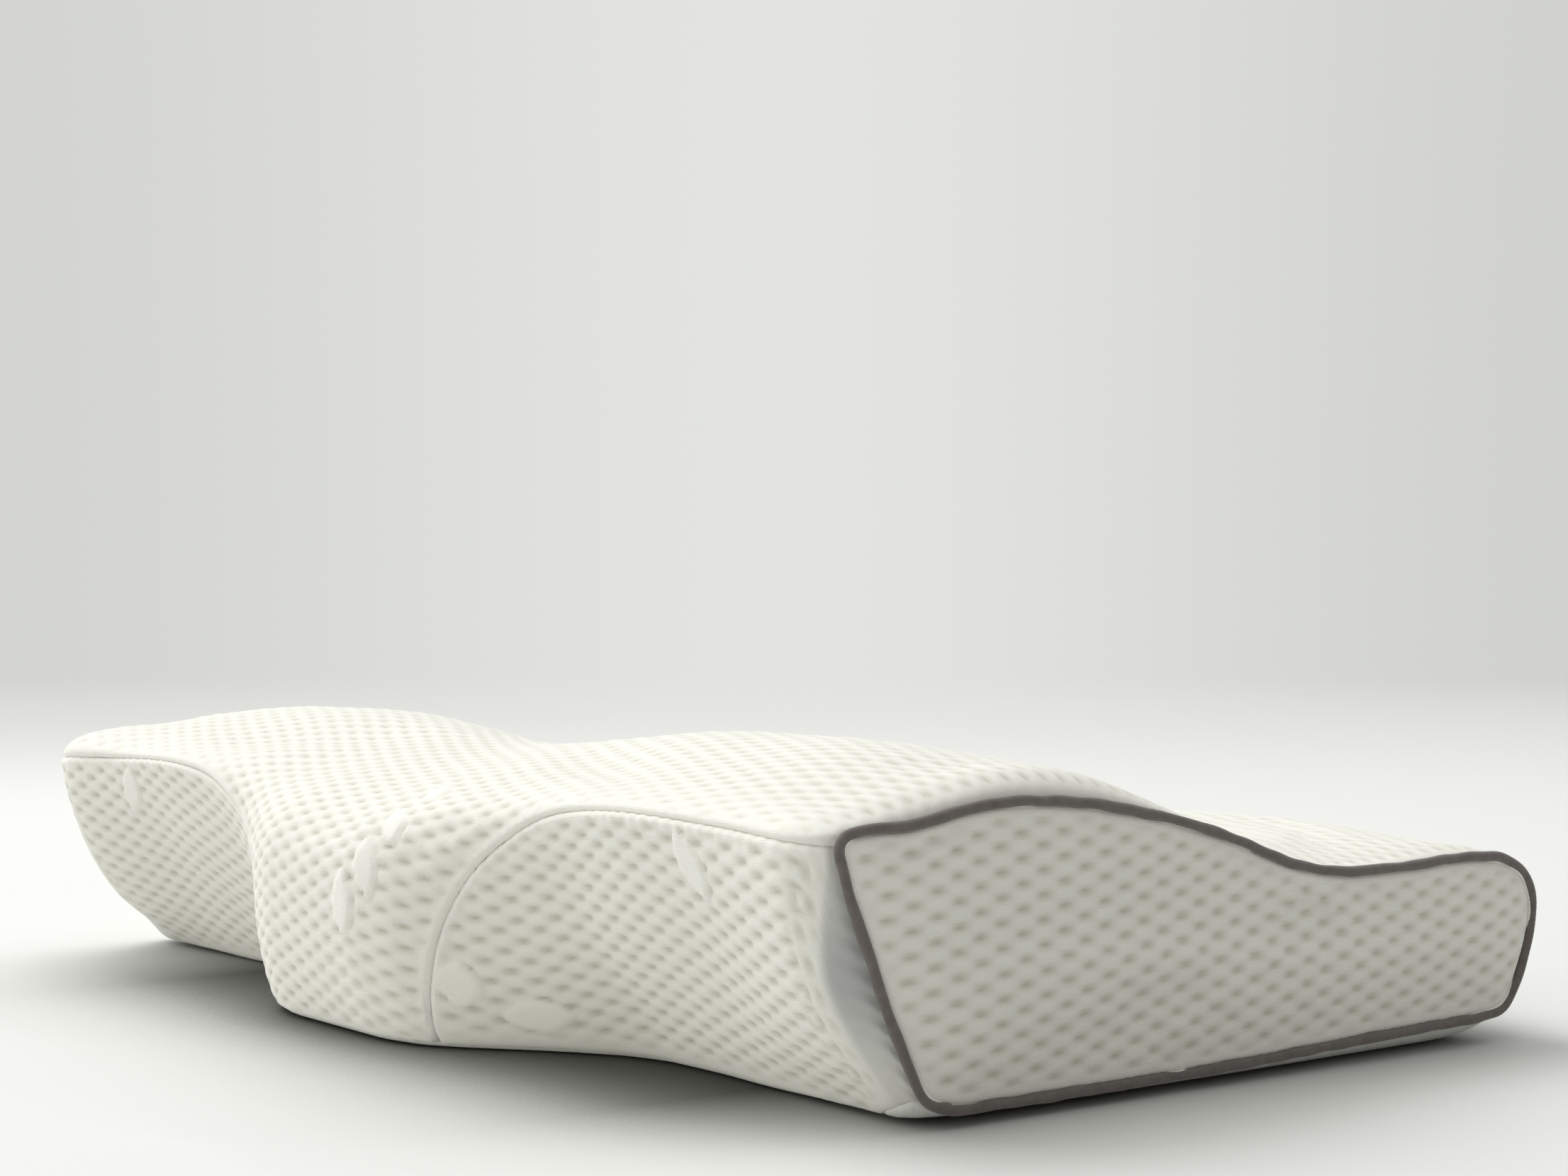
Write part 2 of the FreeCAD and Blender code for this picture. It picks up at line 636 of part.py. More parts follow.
def tab_body():
    """Pull tab: a plate with an eye, and the pin across the eye's near end."""
    b, plane = body_on("zipper_pull_tab", "XZ_Plane")
    sk = sketch_on(b, plane, "tab_profile")
    z = S("zip_z")
    hw = S("tab_w") / 2
    ew = S("tab_eye_w") / 2
    r = S("tab_pin_r")
    L = S("tab_len")
    far = S("tab_eye_far")
    # outline with a tapered neck, and the eye as an inner loop
    flat = S("tab_flat")
    outl = [(-flat, z - 2.6), (2.0, z - 2.6), (7.0, z - hw), (L - 2.0, z - hw), (L, z - hw + 2.0), (L, z + hw - 2.0),
            (L - 2.0, z + hw), (7.0, z + hw), (2.0, z + 2.6), (-flat, z + 2.6)]
    closed_lines(sk, outl)
    eye = [(flat, z - ew), (far, z - ew), (far, z + ew), (flat, z + ew)]
    ie = closed_lines(sk, eye)
    bind(sk, "DistanceX", (ie[0], 1, ie[0], 2), "Params.tab_eye_far - Params.tab_flat", "eyeLength")
    bind(sk, "DistanceY", (ie[1], 1, ie[1], 2), "Params.tab_eye_w", "eyeWidth")
    pad = b.newObject("PartDesign::Pad", "tab_pad")
    pad.Profile = sk
    pad.Midplane = True
    pad.setExpression("Length", "Params.tab_t")
    doc.recompute()
    f = b.newObject("PartDesign::Chamfer", "tab_edges")
    edges = []
    for i, e in enumerate(pad.Shape.Edges):
        bb = e.BoundBox
        if bb.XMin > 6.9 and bb.YMax - bb.YMin < 1e-6 and e.Length > 3:
            edges.append("Edge%d" % (i + 1))
    f.Base = (pad, edges)
    f.Size = 0.25
    doc.recompute()
    # the round pin across the near end, on the hinge axis
    plane2 = [o for o in b.Origin.OriginFeatures if o.Role == "XY_Plane"][0]
    sk2 = sketch_on(b, plane2, "pin_profile")
    sk2.setExpression(".AttachmentOffset.Base.z", "Params.zip_z")
    g = sk2.addGeometry(Part.Circle(Vector(0, 0, 0), Vector(0, 0, 1), r), False)
    sk2.addConstraint(Sketcher.Constraint("Coincident", g, 3, -1, 1))
    c = sk2.addConstraint(Sketcher.Constraint("Radius", g, r))
    sk2.renameConstraint(c, "pinRadius")
    sk2.setExpression("Constraints.pinRadius", "Params.tab_pin_r")
    pin = b.newObject("PartDesign::Pad", "pin_pad")
    pin.Profile = sk2
    pin.Midplane = True
    pin.Length = 5.2
    b.Tip = pin
    doc.recompute()
    b.setExpression(".Placement.Base.x", "Params.slider_rest")
    b.setExpression(".Placement.Base.y", FACE + " + Params.slider_top + Params.pin_gap")
    return b


node(tab_body())

stop_y = FACE + " - Params.tape_depth - Params.tape_t - 0.5"
stop_a = box("stop_a", "Params.stop_len", "3.1", "2.6", "-Params.zip_half - Params.stop_len", stop_y, "Params.zip_z + Params.tape_gap / 2 + 0.1")
stop_b = box("stop_b", "Params.stop_len", "3.1", "2.6", "-Params.zip_half - Params.stop_len", stop_y, "Params.zip_z - Params.tape_gap / 2 - 2.7")
stop_c = box("stop_c", "Params.stop_len + 1", "3.1", "6.0", "Params.zip_half", stop_y, "Params.zip_z - 3")
tops = doc.addObject("Part::Compound", "stop_pair")
tops.Links = [stop_a, stop_b]
# only the part of each stop in front of the tape is kept
front_face = box("stop_front_zone", "900", "20", "40", "-450", FACE + " - Params.tape_depth + Params.coil_lift", "Params.zip_z - 20")
node(boolean("Common", "zipper_top_stops", tops, front_face))
node(boolean("Common", "zipper_bottom_stop", stop_c, front_face))

doc.recompute()

# ---- checks and export ---------------------------------------------------------
bad = []
for o in doc.Objects:
    st = list(o.State)
    if "Invalid" in st or "Error" in st:
        bad.append("%s %s" % (o.Label, st))
for o in KEEP:
    sh = o.Shape
    if sh.isNull() or not sh.isValid():
        bad.append("%s has no valid shape" % o.Label)
        continue
    bb = sh.BoundBox
    print("%-24s solids %d faces %d vol %.1f  x %.1f %.1f  y %.1f %.1f  z %.1f %.1f" % (
        o.Label, len(sh.Solids), len(sh.Faces), sh.Volume, bb.XMin, bb.XMax, bb.YMin, bb.YMax, bb.ZMin, bb.ZMax))
if bad:
    print("\n".join(bad))
    sys.exit(1)
os.makedirs("parts", exist_ok=True)
for o in KEEP:
    o.Shape.exportStep(os.path.join("parts", o.Label + ".step"))
print("nodes", len(KEEP))
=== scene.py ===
import bpy
import math
import numpy as np
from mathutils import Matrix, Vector


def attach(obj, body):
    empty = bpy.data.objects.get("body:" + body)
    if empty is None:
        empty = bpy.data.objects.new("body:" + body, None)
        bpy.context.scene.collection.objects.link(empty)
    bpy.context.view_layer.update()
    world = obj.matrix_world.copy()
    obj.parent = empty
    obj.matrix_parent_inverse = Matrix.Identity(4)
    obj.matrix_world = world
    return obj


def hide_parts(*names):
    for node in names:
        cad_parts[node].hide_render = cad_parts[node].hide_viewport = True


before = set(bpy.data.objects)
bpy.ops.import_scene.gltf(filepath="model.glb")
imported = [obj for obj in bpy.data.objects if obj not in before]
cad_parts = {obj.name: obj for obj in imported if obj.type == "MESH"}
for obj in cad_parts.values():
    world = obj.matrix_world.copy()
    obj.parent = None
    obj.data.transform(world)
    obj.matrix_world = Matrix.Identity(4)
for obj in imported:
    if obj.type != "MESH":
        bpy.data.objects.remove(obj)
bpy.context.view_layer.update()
YS = 1.346            # cm, the model's origin is at the centre of its box
rng = np.random.RandomState(7)

# ---------------------------------------------------------------------------
# The pillow's form, in cm, the same sections as the CAD model
# ---------------------------------------------------------------------------
TAB = {
    "baseY": [(0, -18.75), (3, -18.75), (5.3, -18.35), (6.7, -17.6), (8.0, -16.6), (9.4, -15.45),
              (10.9, -14.4), (12.5, -13.5), (14.6, -13.0), (17, -12.95), (20, -13.1), (24, -13.4), (27.1, -13.6)],
    "noseY": [(0, -19.5), (3, -19.5), (5, -19.1), (7, -18.35), (9, -17.75), (11, -17.4), (14, -17.3),
              (18, -17.45), (23, -17.55), (27.1, -17.8)],
    "noseZ": [(0, 6.4), (4, 6.6), (8, 7.6), (12, 8.5), (16, 8.9), (22, 9.0), (27.1, 8.9)],
    "broad": [(0, 1.0), (5, 0.9), (9, 0.6), (13, 0.25), (17, 0.1), (27.1, 0.0)],
    "ridgeZ": [(0, 10.35), (4, 10.45), (8, 10.85), (12, 11.25), (16, 11.45), (20, 11.5), (24, 11.4), (27.1, 11.15)],
    "valleyZ": [(0, 5.1), (4, 5.2), (8, 5.8), (12, 6.5), (16, 7.0), (20, 7.2), (24, 7.3), (27.1, 7.3)],
    "backZ": [(0, 7.1), (5, 7.1), (10, 7.3), (14, 7.45), (20, 7.5), (27.1, 7.45)],
}
END = [
    (-12.2, 0.62), (-13.15, 0.95), (-13.7, 1.75), (-14.6, 3.45), (-15.45, 5.3), (-16.2, 6.95), (-16.75, 8.25),
    (-17.05, 9.0), (-16.65, 9.42), (-15.6, 9.45), (-14.0, 9.48), (-12.5, 9.82), (-10.9, 10.06), (-9.0, 10.05),
    (-7.0, 9.88), (-5.0, 9.56), (-3.0, 9.14), (-1.0, 8.66), (1.0, 7.97), (3.0, 7.25), (5.0, 6.9), (7.0, 6.83),
    (9.0, 6.87), (11.0, 6.97), (13.0, 7.06), (14.7, 6.86), (15.9, 6.2), (16.35, 5.2), (16.3, 4.1), (16.0, 3.1),
    (15.55, 2.1), (14.95, 1.15), (13.6, 1.04), (9.5, 0.98), (5, 0.84), (1, 0.7), (-3, 0.63), (-7, 0.61),
    (-10, 0.6), (-11.3, 0.6)]
NP = len(END)
AW, AR, AE = 27.1, 29.02, 29.3
SEAM = [(6.5, -1.0), (6.45, 0.3), (6.75, 2.0), (7.2, 3.6), (8.0, 5.3), (9.4, 6.9), (11.2, 8.0), (13.2, 8.8),
        (15.6, 9.25), (18.5, 9.42), (22.0, 9.35), (26.0, 9.2), (29.6, 8.95)]


def table(tab, x):
    n = len(tab)
    if x <= tab[0][0]:
        return tab[0][1]
    if x >= tab[-1][0]:
        return tab[-1][1]
    i = 0
    while tab[i + 1][0] < x:
        i += 1
    xs = [p[0] for p in tab]
    ys = [p[1] for p in tab]
    d = [(ys[k + 1] - ys[k]) / (xs[k + 1] - xs[k]) for k in range(n - 1)]

    def m(k):
        if k == 0:
            return 0.0
        if k == n - 1:
            return d[-1]
        if d[k - 1] * d[k] <= 0:
            return 0.0
        w1 = 2 * (xs[k + 1] - xs[k]) + (xs[k] - xs[k - 1])
        w2 = (xs[k + 1] - xs[k]) + 2 * (xs[k] - xs[k - 1])
        return (w1 + w2) / (w1 / d[k - 1] + w2 / d[k])

    h = xs[i + 1] - xs[i]
    t = (x - xs[i]) / h
    return ((1 + 2 * t) * (1 - t) ** 2 * ys[i] + t * (1 - t) ** 2 * h * m(i)
            + t * t * (3 - 2 * t) * ys[i + 1] + t * t * (t - 1) * h * m(i + 1))


def wing_section(a):
    yb, yt, zt = table(TAB["baseY"], a), table(TAB["noseY"], a), table(TAB["noseZ"], a)
    rc, zr, zv, zk = table(TAB["broad"], a), table(TAB["ridgeZ"], a), table(TAB["valleyZ"], a), table(TAB["backZ"], a)
    # towards the piped ends the front face fills out and its lower edge lifts a little
    q = max(0.0, min(1.0, (a - 19.0) / 8.1))
    q = q * q * (3 - 2 * q)
    P = [(yb + 1.3, 0.12 * q), (yb + 0.42, 0.2 * q), (yb - 0.02, 0.85)]
    for f in (0.24, 0.48, 0.72):
        bulge = 0.12 + 0.25 * rc + 0.95 * q
        P.append((yb - 0.02 + (yt - yb + 0.02) * f - bulge * math.sin(math.pi * f), 0.85 + (zt - 0.85) * f))
    P.append((yt - 0.08 * rc, zt - 0.25 * (1 - rc)))
    tight = [(yt, zt + 0.62), (yt + 0.75, zt + 0.92), (yt + 1.9, zt + 1.1), (yt + 3.4, zt + 0.5 * (zr - zt) + 0.35),
             (-12.2, zr - 0.42), (-10.6, zr - 0.06)]
    broad = [(yt + 0.25, zt + 1.25), (yt + 1.2, zt + 2.25), (yt + 2.9, zr - 0.95), (yt + 4.9, zr - 0.45),
             (-12.2, zr - 0.12), (-10.6, zr)]
    for p, q in zip(tight, broad):
        P.append((p[0] + (q[0] - p[0]) * rc, p[1] + (q[1] - p[1]) * rc))
    P.append((-8.8, zr))
    for y in (-7.0, -5.0, -3.0, -1.0, 1.0, 3.0, 5.0):
        t = (y + 8.8) / 15.2
        s = 0.5 * (t * t * (3 - 2 * t) + (math.sin((t - 0.5) * math.pi) + 1) / 2)
        P.append((y, zr + (zv - zr) * s))
    P += [(7.0, zv), (9.0, zv + (zk - zv) * 0.30), (11.0, zv + (zk - zv) * 0.80), (13.0, zk + 0.02),
          (14.8, zk - 0.25), (16.1, zk - 0.95), (16.6, zk - 1.95), (16.62, 4.35), (16.6, 3.3), (16.2, 2.1),
          (15.6, 0.8), (14.5, 0.0)]
    for k in range(1, 8):
        P.append((14.5 + (yb + 1.3 - 14.5) * k / 8.0, 0.0))
    return P


_W = wing_section(AW)


def section(a):
    a = abs(a)
    if a <= AW:
        return np.array(wing_section(a))
    t = min(1.0, (a - AW) / (AR - AW))
    c = math.sqrt(max(0.0, 1 - t * t))
    return np.array([(e[0] + (w[0] - e[0]) * c, e[1] + (w[1] - e[1]) * c) for e, w in zip(END, _W)])


def inset(P, d):
    a = np.roll(P, 1, 0)
    b = np.roll(P, -1, 0)
    t = b - a
    t /= np.linalg.norm(t, axis=1)[:, None]
    return P + d * np.c_[t[:, 1], -t[:, 0]]


def curve(P, v):
    v = np.asarray(v, float)
    i = np.floor(v).astype(int)
    t = (v - i)[:, None]
    n = len(P)
    return (P[(i - 1) % n] * (1 - t) ** 3 + P[i % n] * (3 * t ** 3 - 6 * t * t + 4)
            + P[(i + 1) % n] * (-3 * t ** 3 + 3 * t * t + 3 * t + 1) + P[(i + 2) % n] * t ** 3) / 6


def lean(x, z):
    return x + 0.07 * (z - 5.0) * (x / AE) * np.minimum(1.0, np.abs(x) / AE) ** 3


VD = np.arange(0.0, 41.0001, 0.05)


class Column:
    """One section at x: point, outward normal and arc length from the neck ridge."""

    def __init__(self, x, depth=0.0):
        self.x = x
        h = 0.04
        xs = [x - h, x, x + h] if abs(x) + h < AE else ([x - h, x - h / 2, x] if x > 0 else [x, x + h / 2, x + h])
        self.xs = xs
        self.Ps = [section(q) if not depth else inset(section(q), depth) for q in xs]
        self.P = section(x) if not depth else inset(section(x), depth)
        C = curve(self.P, VD)
        s = np.r_[0, np.cumsum(np.hypot(*np.diff(C, axis=0).T))]
        self.s = s - np.interp(13.0, VD, s)

    def v_at(self, w):
        return np.interp(w, self.s, VD)

    def w_at(self, v):
        return float(np.interp(v, VD, self.s))

    def at(self, v):
        C = curve(self.P, v)
        p = np.c_[lean(self.x, C[:, 1]), C]
        a, b = curve(self.Ps[0], v), curve(self.Ps[2], v)
        dx = np.c_[lean(self.xs[2], b[:, 1]), b] - np.c_[lean(self.xs[0], a[:, 1]), a]
        q, r = curve(self.P, v - 0.02), curve(self.P, v + 0.02)
        dv = np.c_[np.zeros(len(q)), r - q]
        n = np.cross(dx, dv)
        n /= np.linalg.norm(n, axis=1)[:, None] + 1e-12
        return p, n


def seam_xz():
    """Dense wing seam seen from the front, as z over x."""
    pts = np.array(SEAM[1:])
    t = np.r_[0, np.cumsum(np.hypot(*np.diff(pts, axis=0).T))]
    tt = np.linspace(0, t[-1], 600)

    def spline(y):
        n = len(t)
        h = np.diff(t)
        A = np.zeros((n, n))
        r = np.zeros(n)
        A[0, 0] = A[-1, -1] = 1
        for i in range(1, n - 1):
            A[i, i - 1], A[i, i], A[i, i + 1] = h[i - 1], 2 * (h[i - 1] + h[i]), h[i]
            r[i] = 6 * ((y[i + 1] - y[i]) / h[i] - (y[i] - y[i - 1]) / h[i - 1])
        M = np.linalg.solve(A, r)
        k = np.clip(np.searchsorted(t, tt) - 1, 0, n - 2)
        a, b = t[k + 1] - tt, tt - t[k]
        return (M[k] * a ** 3 + M[k + 1] * b ** 3) / (6 * h[k]) + (y[k] / h[k] - M[k] * h[k] / 6) * a + (y[k + 1] / h[k] - M[k + 1] * h[k] / 6) * b

    x, z = spline(pts[:, 0]), spline(pts[:, 1])
    x = np.maximum.accumulate(x + np.arange(len(x)) * 1e-4)
    return x, z


SX, SZ = seam_xz()
Z_LOW = 0.14          # height of the bottom panel's seam


def low_z(a):
    return Z_LOW + 0.36 * np.maximum(0, abs(a) - 26.7)


def v_front_at_z(P, z):
    v = np.arange(0.4, 9.0, 0.02)
    C = curve(P, v)
    k = int(np.argmax(C[:, 1] >= z))
    return v[k]


def v_back_at_z(P, z):
    v = np.arange(26.5, 33.0, 0.02)
    C = curve(P, v)
    k = int(np.argmax(C[:, 1] <= z))
    return v[k]


# ---------------------------------------------------------------------------
# smooth noise and the knit's dimple lattice
# ---------------------------------------------------------------------------
class Wobble:
    """Sum of a few sine waves: smooth, seeded, cheap."""

    def __init__(self, seed, scale, n=9):
        r = np.random.RandomState(seed)
        a = r.uniform(0, 2 * math.pi, n)
        f = r.uniform(0.5, 1.6, n) * 2 * math.pi / scale
        self.k = np.c_[f * np.cos(a), f * np.sin(a)]
        self.p = r.uniform(0, 2 * math.pi, n)
        self.w = r.uniform(0.5, 1.0, n)
        self.w /= math.sqrt((self.w ** 2).sum() / 2)

    def __call__(self, u, w):
        out = 0
        for k, p, a in zip(self.k, self.p, self.w):
            out = out + a * np.sin(k[0] * u + k[1] * w + p)
        return out


LU, LW = 0.89, 0.79   # column spacing and pitch within a column, cm


def sstep(a, b, x):
    t = np.clip((x - a) / (b - a), 0, 1)
    return t * t * (3 - 2 * t)


def dimple(u, w):
    f = np.cos(math.pi * u / LU) * np.cos(2 * math.pi * w / LW)
    g = ((f + 1) / 2)
    return g ** 2.7


# smooth woven ovals that interrupt the dimples: centre u, w, half sizes, turn
def ovals(u, w, items):
    m = np.zeros_like(u)
    rim = np.zeros_like(u)
    for cu, cw, ru, rw, deg in items:
        c, s = math.cos(math.radians(deg)), math.sin(math.radians(deg))
        du, dw = u - cu, w - cw
        p = (du * c + dw * s) / ru
        q = (-du * s + dw * c) / rw
        # leaf: narrows towards its tips
        q = q / np.maximum(0.35, 1 - 0.45 * p * p)
        d = np.sqrt(p * p + q * q)
        m = np.maximum(m, 1 - sstep(0.86, 1.06, d))
        rim = np.maximum(rim, np.exp(-((d - 1.05) / 0.13) ** 2))
    return m, rim


# ---------------------------------------------------------------------------
# cloth simulation of the whole cover on a coarse form; fine panels follow it
# ---------------------------------------------------------------------------
SIM_X = np.r_[-29.0, -28.4, np.arange(-27.5, 27.6, 1.0), 28.4, 29.0]
SIM_V = np.arange(0, 40, 0.5)


def run_cloth():
    """Inflates a coarse copy of the cover between its pinned seams. Returns the outward movement (cm) on the x, v grid and on the end caps."""
    cols = [Column(x) for x in SIM_X]
    nv = len(SIM_V)
    pts, nrm = [], []
    for c in cols:
        p, n = c.at(SIM_V)
        pts.append(p)
        nrm.append(n)
    pts, nrm = np.array(pts), np.array(nrm)
    verts = pts.reshape(-1, 3).tolist()
    faces = []
    nx = len(SIM_X)
    for i in range(nx - 1):
        for j in range(nv):
            k = (j + 1) % nv
            faces.append((i * nv + j, (i + 1) * nv + j, (i + 1) * nv + k, i * nv + k))
    caps = []
    for side, i in ((-1, 0), (1, nx - 1)):
        ring = [i * nv + j for j in range(nv)]
        rim = pts[i]
        mid = rim.mean(0)
        rows = []
        for r in (0.85, 0.65, 0.4, 0.15):
            # towards a spine rather than one point, so that the rings stay even
            spine = np.c_[rim[:, 0], np.clip(rim[:, 1], -12.5, 12.5), 0.55 * mid[2] + 0.45 * np.interp(rim[:, 1], [-16, -9, 6, 16], [5.0, 5.5, 3.9, 4.0])]
            q = spine + (rim - spine) * r
            base = len(verts)
            verts += q.tolist()
            new = list(range(base, base + nv))
            rows.append(new)
            for j in range(nv):
                k = (j + 1) % nv
                f = (ring[j], ring[k], new[k], new[j])
                faces.append(f if side > 0 else f[::-1])
            ring = new
        caps.append(rows)
        faces.append(tuple(ring) if side > 0 else tuple(ring[::-1]))
    me = bpy.data.meshes.new("sim")
    me.from_pydata([tuple(c / 100 for c in v) for v in verts], [], faces)
    me.update()
    ob = bpy.data.objects.new("sim", me)
    bpy.context.scene.collection.objects.link(ob)
    # pins: piping loops, wing seams, base and zipper
    pin = np.zeros(len(verts))
    for i in range(nx):
        x = SIM_X[i]
        for j in range(nv):
            p = pts[i, j]
            k = i * nv + j
            if abs(x) > 28.7:
                pin[k] = 1
            elif p[2] < 0.5:
                pin[k] = 1
            elif p[1] > 15 and abs(p[2] - 4.0) < 0.6:
                pin[k] = 1
            elif p[1] < -11 and abs(x) > 6.3:
                zs = np.interp(abs(x), SX, SZ)
                d = min(abs(p[2] - zs), abs(np.interp(p[2], SZ[:330], SX[:330]) - abs(x)))
                if d < 0.45:
                    pin[k] = 0.85
    vg = ob.vertex_groups.new(name="pin")
    for k in np.nonzero(pin)[0]:
        vg.add([int(k)], float(pin[k]), "REPLACE")
    mod = ob.modifiers.new("Cloth", "CLOTH")
    s = mod.settings
    s.quality = 6
    s.mass = 0.25
    s.tension_stiffness = 12
    s.compression_stiffness = 12
    s.shear_stiffness = 6
    s.bending_stiffness = 0.6
    s.vertex_group_mass = "pin"
    s.use_pressure = True
    s.uniform_pressure_force = 1.6
    s.effector_weights.gravity = 0.0
    mod.collision_settings.use_collision = False
    mod.point_cache.frame_start = 1
    mod.point_cache.frame_end = 20
    sc = bpy.context.scene
    for f in range(1, 21):
        sc.frame_set(f)
    dg = bpy.context.evaluated_depsgraph_get()
    ev = ob.evaluated_get(dg)
    me2 = ev.to_mesh()
    co = np.zeros(len(me2.vertices) * 3)
    me2.vertices.foreach_get("co", co)
    ev.to_mesh_clear()
    sc.frame_set(1)
    bpy.data.objects.remove(ob)
    d = co.reshape(-1, 3) * 100 - np.array(verts)
    nn = nx * nv
    out = (d[:nn].reshape(nx, nv, 3) * nrm).sum(2)
    print("cloth moved mm", out.min() * 10, out.max() * 10, "caps", d[nn:, 0].min() * 10, d[nn:, 0].max() * 10)
    out = np.clip(out, -0.1, 0.35)
    cap = np.array(verts)[nn + 4 * nv:]
    capd = np.clip(d[nn + 4 * nv:, 0], -0.1, 0.6)
    cap = cap[:4 * nv]
    capd = capd[:4 * nv]
    return out, cap, capd


SIM, CAP_P, CAP_D = run_cloth()


def sim_at(x, v):
    """Bilinear read of the cloth's movement, cm."""
    fi = np.interp(x, SIM_X, np.arange(len(SIM_X)))
    i = int(min(len(SIM_X) - 2, math.floor(fi)))
    a = fi - i
    fj = (np.asarray(v) % 40) / 0.5
    j = np.floor(fj).astype(int)
    b = fj - j
    n = len(SIM_V)
    j0, j1 = j % n, (j + 1) % n
    return ((1 - a) * ((1 - b) * SIM[i, j0] + b * SIM[i, j1]) + a * ((1 - b) * SIM[i + 1, j0] + b * SIM[i + 1, j1]))


# ---------------------------------------------------------------------------
# mesh building
# ---------------------------------------------------------------------------
def make_object(name, verts, faces, uv=None, attrs=None, smooth=True):
    me = bpy.data.meshes.new(name)
    V = np.asarray(verts, float) + np.array([0, YS, 0])
    me.from_pydata((V / 100).tolist(), [], faces)
    me.update()
    if uv is not None:
        lay = me.uv_layers.new(name="fab")
        li = np.zeros(len(me.loops), np.int32)
        me.loops.foreach_get("vertex_index", li)
        lay.uv.foreach_set("vector", np.asarray(uv, np.float32)[li].ravel())
    for k, a in (attrs or {}).items():
        at = me.attributes.new(k, "FLOAT", "POINT")
        at.data.foreach_set("value", np.asarray(a, np.float32))
    if smooth:
        me.polygons.foreach_set("use_smooth", [True] * len(me.polygons))
    ob = bpy.data.objects.new(name, me)
    bpy.context.scene.collection.objects.link(ob)
    return ob


def fix_normals(ob):
    import bmesh
    bm = bmesh.new()
    bm.from_mesh(ob.data)
    bmesh.ops.recalc_face_normals(bm, faces=bm.faces)
    bm.to_mesh(ob.data)
    bm.free()


EDGE = (0.0, 0.05, 0.12, 0.22)


def near(points, line):
    """Distance from each 2-D point to the nearest sample of a polyline, and that sample's length along it."""
    s = np.r_[0, np.cumsum(np.hypot(*np.diff(line, axis=0).T))]
    best = np.full(len(points), 1e9)
    at = np.zeros(len(points))
    for k in range(0, len(points), 4000):
        p = points[k:k + 4000]
        d = (p[:, None, 0] - line[None, :, 0]) ** 2 + (p[:, None, 1] - line[None, :, 1]) ** 2
        i = d.argmin(1)
        best[k:k + 4000] = np.sqrt(d[np.arange(len(p)), i])
        at[k:k + 4000] = s[i]
    return best, at


